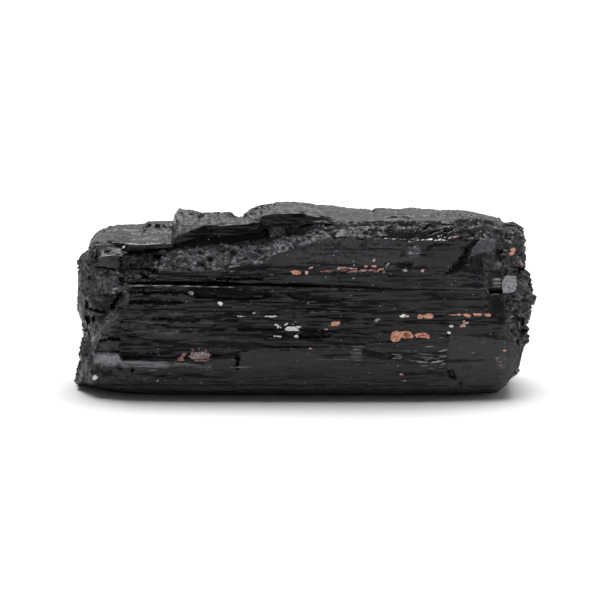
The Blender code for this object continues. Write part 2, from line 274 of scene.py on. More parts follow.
# Marks are laid out on an upright sheet through the stone's middle, and carried onto the stone along
# lines from a point 600 mm in front of it and 10 degrees up. The sheet is ruled in squares, and the
# tables count its squares, across from its left edge and down from its top.
CAMERA_DISTANCE, CAMERA_ELEVATION = 600.0, math.radians(10)
AIM = (-0.23, 0.4, 15.34)
SQUARE = 0.179  # millimetres
SHEET_SIDE = 600  # squares


def on_sheet(grid):
    """Where each point falls on the sheet: across it, and up it, from the point that is aimed at."""
    forward = np.array([0, math.cos(CAMERA_ELEVATION), -math.sin(CAMERA_ELEVATION)])
    upward = np.array([0, math.sin(CAMERA_ELEVATION), math.cos(CAMERA_ELEVATION)])
    away = grid + np.array([*CENTRING, 0]) - np.array(AIM)
    nearness = CAMERA_DISTANCE / (CAMERA_DISTANCE + away @ forward)
    return away[..., 0] * nearness, away @ upward * nearness


across, up = on_sheet(grid)


def measured(places):
    """Places counted in the sheet's squares, as millimetres across and up from its middle."""
    middle = SHEET_SIDE / 2
    return [(SQUARE * (squares_across - middle), SQUARE * (middle - squares_down))
            for squares_across, squares_down in places]


def inset(corners):
    """How far each point lies inside a polygon on the sheet, in millimetres, and below 0 outside it.

    It is the distance to the nearest side, signed by whether a level line from the point to the right
    crosses an odd number of sides.
    """
    nearest = np.full(ragged_across.shape, np.inf)
    crossed = np.zeros(ragged_across.shape, bool)
    for (x0, z0), (x1, z1) in zip(corners, corners[1:] + corners[:1]):
        run, rise = x1 - x0, z1 - z0
        dx, dz = ragged_across - x0, ragged_up - z0
        share = np.clip((dx * run + dz * rise) / (run ** 2 + rise ** 2), 0, 1)
        nearest = np.minimum(nearest, np.hypot(dx - share * run, dz - share * rise))
        if rise:
            crossed ^= ((z0 > ragged_up) != (z1 > ragged_up)) & (dx < run * dz / rise)
    return np.where(crossed, nearest, -nearest)


def within(corners, edge):
    """1 inside an outline given in squares, 0 outside it, and a ramp over the edge's width either side."""
    return ramp(inset(measured(corners)), -edge, edge)


# Outlines that more than one table uses: the slope of rubble under the peak, a black opening at the
# upper left, the corner block at the lower right, and above it a knob, a glint and a scale of mica.
RUBBLE = [(160, 250), (188.6, 248), (217, 246), (235.5, 245), (252, 242), (272, 239), (285.5, 237),
          (305, 233), (320, 229.7), (338, 232), (320, 240), (303, 247), (285.5, 250), (272, 255),
          (268, 260.3), (256, 264.4), (231.4, 265.4), (217, 270.5), (185.5, 271), (158, 270.5)]
OPENING = [(111, 242.4), (119, 246.6), (129, 252.4), (129, 243.4), (120, 242.8)]
CORNER_BLOCK = [(448.4, 337), (470, 336), (492.7, 336.8), (514, 340.5), (524, 352), (523.5, 363),
                (518.5, 370.5), (513, 373.5), (509.5, 378), (505, 386.5), (500, 390), (452, 391),
                (449, 378), (446.5, 368)]
KNOB = [(477.4, 241), (484, 237.5), (494, 239.5), (496.6, 246), (490, 251.8), (480, 251.5), (476, 255.8),
        (469.4, 255), (472, 249)]
GLINT = [(497.4, 262.5), (506.1, 262.2), (503, 267), (498, 266.8)]
MICA_SCALE = [(502.4, 289), (502, 283), (504, 277), (508, 275.4), (516.4, 276.2), (516.6, 285),
              (515.6, 291), (509, 293.4), (503, 292.6)]

# Flat breaks and openings on the front and on what shows of the ends. Each row is the depth into the
# stone at the middle, how much deeper it gets for each millimetre across and up, how crushed it is, and
# its corners on the sheet.
FACETS = [
    # The block at the upper left end: its sloping top, a hollow in it, its front, its left side.
    (-0.1, 0, 0.15, 0.2, [(96, 240.5), (104, 239.5), (110, 244), (119, 247), (128, 251.5), (121, 254),
     (103, 256.2), (96.5, 252)]),
    (0.5, 0.2, 0.3, 0.3, [(103, 250), (111, 250), (107, 254.5)]),
    (-0.3, 0.05, 0.12, 0.3, [(100, 256.2), (121, 254), (128, 251.8), (127, 268), (97, 267), (96, 261)]),
    (0.3, -1.1, 0, 0, [(92.5, 262), (95.5, 243), (98.6, 246), (98, 262)]),
    (1.6, 0, 0.3, 0.5, [(86, 249), (95, 248), (94, 255), (84, 254)]),
    (-0.3, 0.3, 0.1, 0.3, [(87, 243), (90.3, 238.5), (95.5, 239), (95, 248), (87, 248.5)]),
    # The undercut below the ledge, and the blocks and cracks under it.
    (1.5, 0, 0.25, 0.3, [(111, 243.4), (120, 244.9), (128, 245.7), (149, 244.6), (176, 244.6), (176, 250),
     (163.7, 249.8), (146.3, 252.7), (139.7, 254.4), (129, 253.4), (119, 248.8)]),
    (2.2, 0, 0.3, 0, [(146, 246.5), (160, 246), (158, 251.5), (147, 252)]),
    (0.35, 0, -0.1, 0.5, [(146, 254), (163.7, 252.7), (157, 268), (141.3, 268)]),
    (1.1, 0, 0.3, 0, [(154, 255), (161, 254.5), (158, 265), (154, 264)]),
    (0.5, 0, 0.2, 0.1, [(120, 257), (123.5, 257), (123.5, 267), (120, 267)]),
    (0.7, 0, 0.3, 0.1, [(96, 265.8), (113, 268), (141, 269), (156, 269.4), (156, 271.2), (141, 271),
     (113, 270), (96, 268)]),
    (1.2, 0.1, 0.3, 0.3, [(148, 270.5), (157.5, 270), (156, 274.5), (150, 273.5)]),
    (1.2, 0, 0.3, 0.3, [(143, 275.5), (146.5, 275.5), (146, 279.8), (143, 279.5)]),
    # The left end, down to the foot: blocks between dark cracks, and the smooth scoop low down.
    (0.9, 0, 0.1, 0.9, [(74, 271), (113, 270.5), (124.6, 271.5), (124.6, 296), (119, 308), (111, 317),
     (96, 330), (74, 330)]),
    (1.9, 0, 0.3, 0.5, [(86.6, 278), (97.4, 277.5), (97, 281.3), (88, 282)]),
    (1.9, 0, 0.3, 0, [(119.8, 279), (124.6, 279), (124.6, 286), (121, 286)]),
    (0.3, 0.1, 0.06, 0, [(86.6, 296), (112, 296), (119, 295), (113, 309), (109.8, 313), (88, 308.5)]),
    (1.9, 0, 0.3, 0, [(118.4, 294), (121, 295.5), (114.5, 310), (111.5, 308.5)]),
    (1.7, 0, 0.4, 0, [(88, 308.4), (110, 312.8), (110, 315.2), (88, 310.4)]),
    (1.7, 0, 0, 0, [(84.5, 301), (86.3, 301), (86.5, 309), (84.8, 309)]),
    (0.9, 0.1, 0.25, 0, [(97.4, 315.5), (110, 315.8), (106, 322), (99, 324.5)]),
    (1.9, 0, 0.3, 0.3, [(84, 318), (88, 316), (90, 322), (86, 326)]),
    (1.7, 0, 0.3, 0.3, [(92, 318), (96, 316), (96, 322), (92, 325)]),
    (1.5, 0, 0.3, 0.3, [(84, 331), (90, 331), (88.5, 338.5), (86.5, 338)]),
    (0.1, -0.4, 0, 0.1, [(119, 311), (122, 314), (113, 322), (103, 331), (101, 338), (94, 344), (91.5, 352),
     (92, 362), (90, 364), (88, 358), (87.6, 346), (90, 338), (98, 329), (109, 319)]),
    (1.2, 0, 0.3, 0, [(97, 342), (104, 339.5), (112, 338.2), (119.5, 338.4), (120, 341), (112, 340.8),
     (104, 341.7), (97.5, 344)]),
    (0.6, 0.02, -0.08, 0, [(95.5, 344), (104, 341.5), (112, 340.6), (119, 341), (119.8, 346), (119.8, 353),
     (94, 353)]),
    (0.5, 0, 0.2, 0, [(122, 354), (141.5, 354), (143, 357), (140, 360.5), (124, 359.5)]),
    (0.4, 0, 0.2, 0.3, [(96, 366.5), (101, 366.5), (99, 371.5), (96, 371)]),
    (0.8, 0, 0.3, 0.2, [(117, 364), (121, 364), (121.5, 370), (118.5, 368)]),
    (0.35, 0, 0.2, 0.3, [(101, 370.5), (113.6, 370.5), (113, 373), (102, 373)]),
    (0.7, 0, 0.3, 0.2, [(131, 368), (134, 368), (134.5, 371.2), (132, 371.2)]),
    (0.1, 0.2, 0.05, 0.8, [(76, 383), (79, 373), (84, 362), (89, 366), (91, 374), (91.5, 385), (82, 385)]),
    # The scarp under the upper slab, its foot, and pits and a smooth tongue in the scree.
    (0.4, 0, 0.22, 0, [(175, 246.5), (190.6, 232.5), (204, 226.8), (217, 225.4), (247.8, 223.4),
     (262, 225.4), (268, 225.4), (268, 239), (248.8, 241), (235.5, 244), (217, 245), (200.8, 244.5),
     (188.6, 247), (174, 249)]),
    (0.8, 0, 0.3, 0.6, [(198, 251.5), (202, 251), (202, 255), (198, 254.5)]),
    (0.8, 0, 0.3, 0.6, [(219, 251), (224, 251), (223, 255), (219, 255)]),
    (0.8, 0, 0.3, 0.6, [(231, 252), (237, 252.5), (236, 256), (231, 256)]),
    (0.8, 0, 0.3, 0.6, [(207, 258), (214, 258.5), (213, 262), (208, 262)]),
    (0.8, 0, 0.3, 0.6, [(198, 263.5), (205, 264), (204, 267), (198, 267)]),
    (0.4, 0, 0.15, 0, [(217, 267), (231, 265), (256, 265), (271, 264.5), (270, 268), (250, 271),
     (225, 271)]),
    (0.6, 0, 0.3, 0, [(217, 278.2), (262, 277.8), (262, 279.6), (217, 280)]),
    # The peak: its two dark faces, the rough piece below them, and the hole beside that.
    (0.6, 0, 0.25, 0, [(264, 215.5), (277.3, 212.6), (298.8, 211.6), (303.4, 214.8), (297.8, 222.6),
     (285.5, 223.6), (262, 224.6)]),
    (-0.2, 0.1, 0.1, 0.9, [(268, 225.5), (285.5, 224.5), (285.5, 236), (268, 238)]),
    (0.8, 0, 0.15, 0.5, [(284.5, 229), (296, 227.5), (305, 229), (303, 236), (288, 237)]),
    (0.9, 0, 0.3, 0.2, [(301, 219.5), (320, 217), (324, 221.5), (312, 226), (300, 228)]),
    (0.8, 0, 0.3, 0.5, [(321.6, 221), (332.3, 220.7), (331, 225.7), (325, 226)]),
    (0.8, 0, 0.3, 0.5, [(353, 226), (363, 225.7), (362, 229.8), (354, 230)]),
    # Where lamellae have come away from the front: long shallow recesses that taper out.
    (0.9, 0, 0.25, 0, [(190, 291), (215, 288.7), (245, 289), (267, 291.5), (272, 296), (262, 299),
     (230, 299.5), (195, 297)]),
    (0.45, 0, 0.2, 0, [(284, 293.5), (330, 298), (345, 301), (318, 302), (300, 300)]),
    (0.6, 0, 0.3, 0, [(129, 291.6), (184, 292), (190, 293), (184, 293.4), (129, 293)]),
    (0.6, 0, 0.3, 0, [(127, 301), (180, 301.5), (186, 302.6), (180, 303.5), (127, 303.2)]),
    (0.9, 0, 0.3, 0, [(152, 319), (175, 317), (193, 318.3), (200, 320.5), (193, 322), (180, 321),
     (160, 320.4)]),
    (0.7, 0, 0.3, 0, [(145, 325.3), (168, 324.9), (172, 326), (168, 326.8), (147, 326.6)]),
    (0.7, 0, 0.3, 0, [(122, 336.5), (133, 334.9), (144, 336), (143, 338.2), (128, 338)]),
    (0.35, 0, 0.1, 0, [(139, 336), (160, 332), (200, 332.3), (230, 331), (262, 331.5), (268, 339),
     (300, 340), (332, 342), (342, 347.6), (262, 347.6), (215, 347.3), (180, 344.5), (145, 341)]),
    (0.7, 0, 0.3, 0, [(294, 334.6), (324, 333.6), (330, 335.5), (324, 337.3), (298, 337.6)]),
    (0.4, 0, 0.3, 0, [(396.5, 262.9), (413, 262.3), (413, 264.5), (410, 267.5), (397, 267.5)]),
    (0.15, 0, 0.05, 0.1, [(366, 347), (376, 346), (388.5, 346.5), (392, 353), (386, 357), (378, 361.5),
     (368, 361), (364, 354)]),
    # The dark steep foot of the broken slope above the front's right-hand crest, and a step in it.
    (0, 0, 0, 0.4, [(334, 236.5), (340, 228), (370, 224), (398, 227), (390, 238.5)]),
    (0, 0, 0, 0.4, [(396, 226), (430, 216), (476, 213), (498, 221), (484, 226), (452, 226), (420, 231)]),
    (0, 0, -0.1, 0.35, [(386, 238.5), (398, 232.5), (430, 230.5), (457, 233), (448, 238), (430, 238.4),
     (410, 239.6)]),
    (0, 0, 0, 0.4, [(420, 229.5), (432, 226), (452, 221.5), (474, 218.6), (464, 223.6), (448, 228.4),
     (430, 230.4)]),
    (-0.1, 0, -0.3, 0.4, [(452, 234), (462, 229.6), (482, 224.4), (494, 224), (484, 231), (466, 236)]),
    (0.3, 0, -0.3, 0.2, [(422, 229), (430, 223.6), (439, 221), (440, 222.2), (431, 225.4), (424, 230.4)]),
    (0.3, 0, -0.3, 0.2, [(446, 230.6), (462, 224.6), (463, 225.8), (448, 232.2)]),
    (0.25, 0, -0.3, 0.2, [(428, 233.4), (446, 227.6), (447, 228.6), (430, 234.8)]),
    # Places where the grown face is smooth and glassy.
    (0.1, 0, 0.05, 0, [(338, 274), (446, 275), (447, 312), (436, 312), (400, 305), (345, 297)]),
    (0, 0, 0.02, 0, [(447, 284), (484, 283), (490, 296), (505, 299), (507, 313), (447, 312)]),
    (0.1, 0, 0.03, 0, [(159, 271.5), (217, 271.5), (262, 272), (262, 277), (217, 277.5), (159, 280)]),
    (0, 0, -0.03, 0, [(214, 352), (242, 350.8), (313, 351.5), (350, 360.5), (350, 369), (214, 369)]),
    (0.4, 0, 0.3, 0, [(214, 356.4), (236, 356), (236, 357.2), (214, 357.8)]),
    (1.2, 0, 0, 0, [(235.2, 356.5), (240, 356.5), (238.1, 359.5), (237.6, 368.7), (236.8, 368.7),
     (236.7, 359.5)]),
    (0, 0, 0, 0, [(129, 294.5), (186, 295), (192, 300), (129, 300)]),
    # The right end of the front: the glassy facet, the black one beside it, knobs and holes.
    (0, 0.06, -0.03, 0, [(428, 245.5), (455, 243.5), (475.8, 240.5), (467.8, 247.8), (458, 260),
     (446.3, 273.4), (431, 271.8), (424.8, 256)]),
    (0.45, -0.3, 0.3, 0, [(467.8, 247.8), (466.5, 262), (461.5, 269.4), (446.3, 274.2), (457, 261)]),
    (-0.9, 0.1, 0.05, 0.25, KNOB),
    (0.5, 0, 0.12, 0.3, [(471, 256), (480.6, 254), (481.5, 262), (481, 271.5), (472, 271)]),
    (-0.2, 0.1, 0.05, 0.3, [(481.4, 256), (496.6, 255.8), (497, 269), (490, 270.2), (482, 268)]),
    (1.1, 0, 0.3, 0.2, [(496.5, 250), (505, 251), (505, 262), (497, 262)]),
    (0.5, 0, 0.1, 0.1, [(487.8, 271.5), (496, 270.5), (502, 273), (502, 293), (490, 293.5), (486, 284)]),
    (1.4, 0, 0.3, 0, [(490, 289.5), (502, 289.5), (502, 293.4), (490.5, 293.6)]),
    (-0.1, 0.1, 0, 0.2, MICA_SCALE),
    (0.3, 0, 0.9, 0.4, GLINT),
    (1.5, 0, 0.3, 0.3, [(516.1, 268), (522.9, 268), (522.5, 273.4), (517, 273.4)]),
    (2.2, 0, 0.2, 0.2, [(514.2, 319), (519, 317.5), (525.6, 319), (525.2, 330), (522, 336.6), (516, 334),
     (514, 328)]),
    (1.2, 0, 0, 0, [(509.6, 329.7), (512, 329.5), (517, 336.8), (514.5, 337)]),
    (-0.2, 0.1, 0, 0.2, [(508, 323), (514.2, 322.8), (514.2, 329.7), (508, 328)]),
    (-0.15, 0, -0.03, 0.1, CORNER_BLOCK),
    (0.9, 0, 0, 0.3, [(447, 370.3), (451, 370), (454.8, 374.5), (454.5, 378.3), (450, 376)]),
    (0.6, 0, 0, 0.3, [(458.7, 383.5), (462, 382.3), (461.5, 386.6), (459, 386.4)]),
]
# The same on the top, with the rise in place of the depth.
TOP_FACETS = [
    (0, 0, 0, 0.3, [(84, 248), (88, 240), (92, 234), (104, 228), (124, 226), (124, 245.5), (110, 243),
     (96, 240.5), (95, 248)]),
    (0.05, 0.04, 0.35, 0.1, [(118, 239), (135, 235), (150, 236), (166, 234.5), (170, 239), (168, 243),
     (128, 243.2)]),
    (-0.1, 0, -0.4, 0.1, [(100, 235), (104, 229), (143, 228.5), (146, 232), (130, 234.5), (112, 238)]),
    (0.12, 0, 0.3, 0.2, [(100, 232), (125, 229), (140, 229.5), (120, 233)]),
    (-0.1, 0, -0.5, 0.2, [(128, 235), (150, 232.5), (172, 232), (172, 235), (140, 236.5)]),
    (0.25, 0, 0.15, 0.3, [(312, 208), (345, 209.5), (372, 213.5), (352, 214.5), (325, 212)]),
    (-0.12, 0, 0.2, 0.3, [(330, 215), (372, 216.5), (392, 219), (360, 220.5), (335, 219)]),
    (0.3, 0, 0.2, 0.3, [(395, 212), (430, 211), (452, 212.5), (430, 215), (400, 215.5)]),
    (-0.15, 0, -0.1, 0.3, [(405, 217), (440, 216), (462, 214.5), (470, 216), (440, 219.5), (412, 220)]),
    (0.25, 0, 0.3, 0.3, [(452, 211), (480, 212.5), (500, 217), (482, 217.5), (460, 214.5)]),
    (-0.15, 0, 0.2, 0.3, [(345, 222), (380, 221.5), (400, 222.5), (385, 226), (350, 226)]),
    (-0.4, 0, 0, 0.1, [(144, 224.9), (172.5, 225.6), (172.5, 228.2), (144, 227.6)]),
    (-0.8, 0, 0, 0.1, OPENING),
    (-0.6, 0, 0, 0.1, [(404, 224.6), (415, 222.4), (415, 223.6), (405, 225.8)]),
    (0.1, 0, 0, 0.2, [(120, 234), (120, 227.5), (143, 226.5), (143, 234)]),
    (0.35, 0, 0, 0.1, [(144, 226.6), (170, 227.3), (176, 227), (176, 219), (160, 219), (148, 221)]),
    (-0.6, 0, 0.3, 0.3, [(198, 214.5), (203, 214), (203, 218), (199, 218)]),
    (-0.7, 0, 0.3, 0.2, [(228, 214), (234.5, 215), (233, 217.3), (228.5, 217)]),
    (-0.5, 0, 0.3, 0.2, [(397.8, 223.5), (415.3, 222), (413, 225.2), (399, 225.2)]),
    (-0.8, 0, 0.3, 0.2, [(470.2, 219), (476.6, 219), (476, 222.4), (470.5, 222)]),
    (-0.4, 0, 0.1, 0.2, [(108, 241.3), (123, 243), (123, 244.6), (112, 243.6)]),
]
# Crushed places, from 0 to 1, and paler places: frosted places, where fine bruising makes the black grey,
# and places with painted light, a painted highlight or reflection on lit edges and bands. Below zero are
# blacker places: clean places, where fresh schorl has no bruising, and painted shade in cracks, openings
# and steep faces that lie in shadow.
CRUSHED = [
    (1, RUBBLE),
    (0.8, [(127, 271), (157, 270), (154, 282), (127, 282)]),
    (0.9, [(128, 255), (146, 254), (142, 268), (127, 268)]),
    (0.45, [(176, 240), (188.6, 231.7), (204, 225.6), (236.5, 222), (236, 212), (180, 205), (170, 216)]),
    (0.55, [(384, 222), (440, 214), (480, 212), (530, 215), (540, 240), (500, 300), (497, 240), (466, 236),
     (420, 238), (384, 237)]),
    (0.6, [(243, 223), (244, 212), (258, 203), (272, 199), (277, 206), (264, 214), (262, 223)]),
    (0.3, [(300, 246), (330, 240), (404, 243), (420, 262), (404, 268), (350, 262), (290, 262)]),
    (0.35, [(320, 221), (384, 222), (384, 237), (400, 242), (400, 250), (330, 250), (300, 245),
     (300, 228)]),
]
FROST_AND_PAINTED_LIGHT = [
    # Painted shade: the black facet at the right end, blackened as a shadow.
    (-0.8, [(468, 247.6), (466.6, 262), (461.6, 269.6), (446, 274.4), (457, 260.8)]),
    (-0.35, [(428, 245.5), (455, 243.5), (475, 241), (458, 260), (446, 273), (431, 271.6), (425, 256)]),
    # Painted light: the underside along the foot, made paler to stand in for light bounced off the floor.
    (0.35, [(80, 389), (100, 386.6), (130, 386), (300, 386), (450, 386), (495, 387), (505, 391), (498, 404),
     (96, 404)]),
    # Painted shade: the smooth block at the lower left end, blackened as if in shade.
    (-0.5, [(74, 382), (78, 372), (84, 362), (91, 367), (97, 376), (98, 382)]),
    # Painted shade: the scarp under the upper slab and the peak's two dark faces, blackened where they lie in
    # shadow.
    (-0.9, [(173, 250), (190.6, 231.5), (204, 225.8), (217, 224.4), (247.8, 222.4), (262, 223.4),
     (264, 213.5), (300, 209), (306, 214.8), (297.8, 224), (272, 226), (270, 240), (248.8, 242), (217, 246),
     (188.6, 248)]),
    # Painted shade: the dark steep foot of the broken slope above the right-hand crest, and the shadow band
    # over the crest.
    (-0.5, [(330, 238), (340, 226), (380, 222), (398, 226), (390, 239)]),
    (-0.4, [(384, 239), (398, 230), (420, 228), (432, 223), (452, 218.5), (474, 217), (496, 222),
     (484, 232), (466, 237), (448, 238.4)]),
    (-0.4, [(322, 274), (446, 272), (446, 300), (400, 304), (345, 297)]),
    (-0.4, [(128, 272.5), (300, 272.5), (318, 290), (345, 298), (400, 305), (446, 301), (446, 345),
     (360, 345), (268, 337), (200, 331), (140, 334), (128, 345)]),
    (-0.3, [(446, 284), (484, 283), (505, 299), (507, 334), (447, 334)]),
    # Painted highlight: the light band low on the left front and its fading tail, pale as the lamp's
    # reflection on its upturned face.
    (1, [(93, 353.5), (112, 352.8), (119, 354.5), (122, 361), (120, 366), (108, 364.8), (93, 362)]),
    (0.9, [(119, 361), (150, 362), (170, 363.5), (170, 367), (150, 367.3), (119, 367)]),
    (0.5, [(168, 363.4), (212, 365.5), (212, 367.8), (168, 367)]),
    # Painted light: the sloping top of the block at the upper left end, made paler as a lit facet.
    (0.2, [(97, 241), (104, 240.5), (110, 245), (128, 251.5), (121, 254), (103, 256.2), (97, 249)]),
    (0.13, [(118, 309), (124, 314), (115, 324), (106, 332), (104, 339), (99, 345), (96, 352), (94, 363),
     (90, 365), (87, 358), (86.5, 346), (89, 336), (97, 326), (108, 317)]),
    # Painted highlight: the light edge at the left end of the main face.
    (0.3, [(124, 280.5), (127.4, 280.5), (127.4, 298), (124, 298)]),
    (0.2, [(350, 345.5), (365, 345), (362, 351), (360, 360), (352, 360)]),
    (0.25, KNOB),
    (0.04, CORNER_BLOCK),
    (-0.14, [(88, 247), (92, 234), (104, 226), (124, 222), (176, 218), (176, 243), (128, 243), (96, 240)]),
    # Painted shadow: the black line under the thin slab on the left top.
    (-0.8, [(144.5, 225.2), (172.5, 225.9), (172.5, 228), (144.5, 227.4)]),
    (-0.35, [(175, 243), (174, 208), (236, 210), (247, 221.5), (217, 224), (204, 225.4), (190.6, 231.2)]),
    # Painted shade: the black opening at the upper left.
    (-0.8, OPENING),
    (-0.6, [(141, 255), (164, 253), (158, 268.5), (140, 268.5)]),
    # Painted light: the right part of the slot, made paler so that its shadow fades out.
    (0.48, [(332, 286.2), (486, 287.4), (486, 290.6), (332, 290.2)]),
    (0.4, [(407, 251), (413, 246), (418, 246), (421, 251), (419, 256), (409, 256.5)]),
    (0.2, [(494, 356), (503, 354), (509, 360), (507, 368), (498, 369)]),
    # Painted highlight: the glint at the right end.
    (0.8, GLINT),
    # Painted highlight: the light rungs of the panel at the right end.
    (0.4, [(492.6, 278.6), (502, 278.6), (502, 288.4), (492.6, 288.4)]),
    (0.22, RUBBLE),
    (0.52, [(130, 322), (152, 312), (182, 312), (192, 322), (178, 334), (150, 334), (128, 332)]),
    (0.5, [(180, 320), (200, 316), (216, 322), (210, 330), (188, 330)]),
]

# Each kind of break, as the size of its cells along, through and up the crystal, in millimetres.
LAMELLA, NEEDLE, LENS_PIT = (30, 2.4, 1.3), (8, 0.7, 0.5), (9, 1.6, 0.8)
BLOCK, LUMP, GRAIN, CRUMB = (4.5, 4, 4), (2.4, 2.2, 2.2), (1.4, 1.2, 1.2), (0.7, 0.6, 0.6)
lamella, _, _ = broken_cells(grid, LAMELLA, 10)
needle, _, _ = broken_cells(grid, NEEDLE, 20)
_, pit_in, pit_lot = broken_cells(grid, LENS_PIT, 70)
grain, _, _ = broken_cells(grid, GRAIN, 30)
crumb, _, _ = broken_cells(grid, CRUMB, 40)
chip, _, _ = broken_cells(grid, CRUMB, 45)
block, block_in, _ = broken_cells(grid, BLOCK, 50, slant=0.8)
lump, lump_in, _ = broken_cells(grid, LUMP, 60)

RAGGED = 0.12  # millimetres by which the outlines of breaks wander
BREAK_EDGE, CRUSHED_EDGE, FROST_AND_LIGHT_EDGE = 0.12, 0.3, 0.2  # millimetres to either side of an outline
END_CRUSH = 0.9  # how crushed the two ends are
ragged_across, ragged_up = across + RAGGED * crumb, up + RAGGED * chip
at_top = strips_between(9, 12.5)
top_shown = strips_between(9, 11.3)
seen_side = at_front | (((ring < 0) | (ring >= BODY_RINGS)) & (y < 3))
lamella_depth, needle_depth, crushed = np.array([f[1:] for f in FACES.values()])[edge_of_strip].T
crush = on_side * crushed + (1 - on_side) * END_CRUSH
for amount, corners in CRUSHED:
    crush = np.maximum(crush, amount * within(corners, CRUSHED_EDGE) * (seen_side | at_top))
sunk, risen, worked = np.zeros((3,) + crush.shape)
for breaks, side, height in ((FACETS, seen_side, sunk), (TOP_FACETS, at_top, risen)):
    for middle_height, lean_across, lean_up, roughness, corners in breaks:
        middle = np.mean(measured(corners), axis=0)
        share = within(corners, BREAK_EDGE) * side
        plane = middle_height + lean_across * (across - middle[0]) + lean_up * (up - middle[1])
        height += (plane - height) * share
        crush += (roughness - crush) * share
        worked = np.maximum(worked, share)

# The skin's own relief. It is calmer inside the marks above, where the stone is crushed, towards the
# worn right of the front, and at the poles of the two ends, where all the strips meet.
LAMELLA_TAPER, NEEDLE_TAPER, PIT_TAPER = 6, 3, 4  # rings
PIT_LOT, PIT_WALL, PIT_DEPTH = 0.8, 0.5, 1.2  # a pit's least lot, its wall in cells, its depth in needles'
CALM_IN_MARKS, CALM_IN_CRUSH, CALM_POLE = 0.7, 0.7, 6  # two shares, and rings
WEAR, WEAR_RUN = 0.6, (-5, 20)  # share of the relief worn off at the right, and the x where it comes in
LUMP_RELIEF, GRAIN_RELIEF, CRUMB_RELIEF = 0.32, 0.3, 0.14  # millimetres, where all is crushed
BLOCK_STEP, BLOCK_CRACK, LUMP_CRACK = 0.6, 0.5, 0.25  # millimetres, on the ends
BLOCK_CRACK_WALL, LUMP_CRACK_WALL = 0.12, 0.15  # widths of the cracks' walls, in cells
LOWEST = 0.15  # millimetres that the skin keeps above its flat foot
lens_pits = drawn_out(np.where(pit_lot > PIT_LOT, ramp(pit_in, 0, PIT_WALL), 0), PIT_TAPER)
from_pole = np.minimum(ring + END_RINGS, BODY_RINGS - 1 + END_RINGS - ring)
kept = (1 - CALM_IN_MARKS * worked) * ramp(from_pole, 0, CALM_POLE)
worn = WEAR * ramp(x, *WEAR_RUN) * at_front
striae = on_side * (1 - worn) * (1 - CALM_IN_CRUSH * crush) * (
    drawn_out(lamella, LAMELLA_TAPER) * lamella_depth + drawn_out(needle, NEEDLE_TAPER) * needle_depth
    - PIT_DEPTH * lens_pits * needle_depth * at_front)
rubble = crush ** 1.6 * (LUMP_RELIEF * lump + GRAIN_RELIEF * grain + CRUMB_RELIEF * crumb)
moved = grid + facing(grid) * (kept * (striae + rubble))[..., None]
cracks = (BLOCK_CRACK * (1 - ramp(block_in, 0, BLOCK_CRACK_WALL))
          + LUMP_CRACK * (1 - ramp(lump_in, 0, LUMP_CRACK_WALL)))
moved[..., 0] += kept * (BLOCK_STEP * block - cracks) * (on_right - on_left)
moved[..., 1] += sunk
moved[..., 2] += risen
foot = z < 0.01
moved[..., 1] = np.where(foot, y, moved[..., 1])
moved[..., 2] = np.where(foot, 0, np.maximum(moved[..., 2], LOWEST))

# The foremost skin, as places on the sheet and their depth, for the pieces that are seated in it.
skin_across, skin_up = on_sheet(moved)
moved += np.array([*CENTRING, 0])
outer_front = strips_between(0, 10.6) | seen_side
skin = np.stack([skin_across, skin_up, moved[..., 1]], axis=-1)[outer_front]
poles = np.stack([moved[0].mean(axis=0), moved[-1].mean(axis=0)])
points = np.concatenate([moved.reshape(-1, 3), poles]) * MM

# The mesh: four-sided faces between each ring and the next, and a fan of triangles at each pole.
SHARP_ANGLE = math.radians(18)
rings, columns = moved.shape[:2]
row, column = np.meshgrid(np.arange(rings - 1), np.arange(columns), indexing="ij")
after = (column + 1) % columns
quads = np.stack([row * columns + column, (row + 1) * columns + column,
                  (row + 1) * columns + after, row * columns + after], axis=-1).reshape(-1, 4)
around = np.arange(columns)
onward = (around + 1) % columns
left_fan = np.stack([np.full(columns, rings * columns), around, onward], axis=-1)
right_fan = np.stack([np.full(columns, rings * columns + 1), (rings - 1) * columns + onward,
                      (rings - 1) * columns + around], axis=-1)
stone_mesh = bpy.data.meshes.new("rough_schorl")
stone_mesh.from_pydata(points.tolist(), [], quads.tolist() + left_fan.tolist() + right_fan.tolist())
stone_mesh.shade_smooth()
stone_mesh.set_sharp_from_angle(angle=SHARP_ANGLE)
stone = bpy.data.objects.new("rough_schorl", stone_mesh)
bpy.context.scene.collection.objects.link(stone)


def vertex_value(mesh, name, values):
    """Stores one number for each vertex of the grid, with the two poles given the mean."""
    layer = mesh.attributes.new(name, "FLOAT", "POINT")
    flat = np.concatenate([np.broadcast_to(values, (rings, columns)).ravel(), np.full(2, values.mean())])
    layer.data.foreach_set("value", flat.astype(np.float32))


def painted_light_and_frost():
    """The strongest paling, by frost or painted light, and the strongest darkening, by cleanness or painted
    shade, at each point, summed.
    """
    shares = [amount * within(corners, FROST_AND_LIGHT_EDGE) for amount, corners in FROST_AND_PAINTED_LIGHT]
    return (np.max(shares, axis=0) + np.min(shares, axis=0)) * (seen_side | top_shown)


vertex_value(stone_mesh, "crushed", crush)
vertex_value(stone_mesh, "smooth", np.maximum(worked, worn))
vertex_value(stone_mesh, "frost_and_painted_light", painted_light_and_frost())


def linear(hex_colour):
    """The linear RGBA of an sRGB hex colour."""
    channels = [int(hex_colour[i:i + 2], 16) / 255 for i in (1, 3, 5)]
    return [c / 12.92 if c <= 0.04045 else ((c + 0.055) / 1.055) ** 2.4 for c in channels] + [1.0]


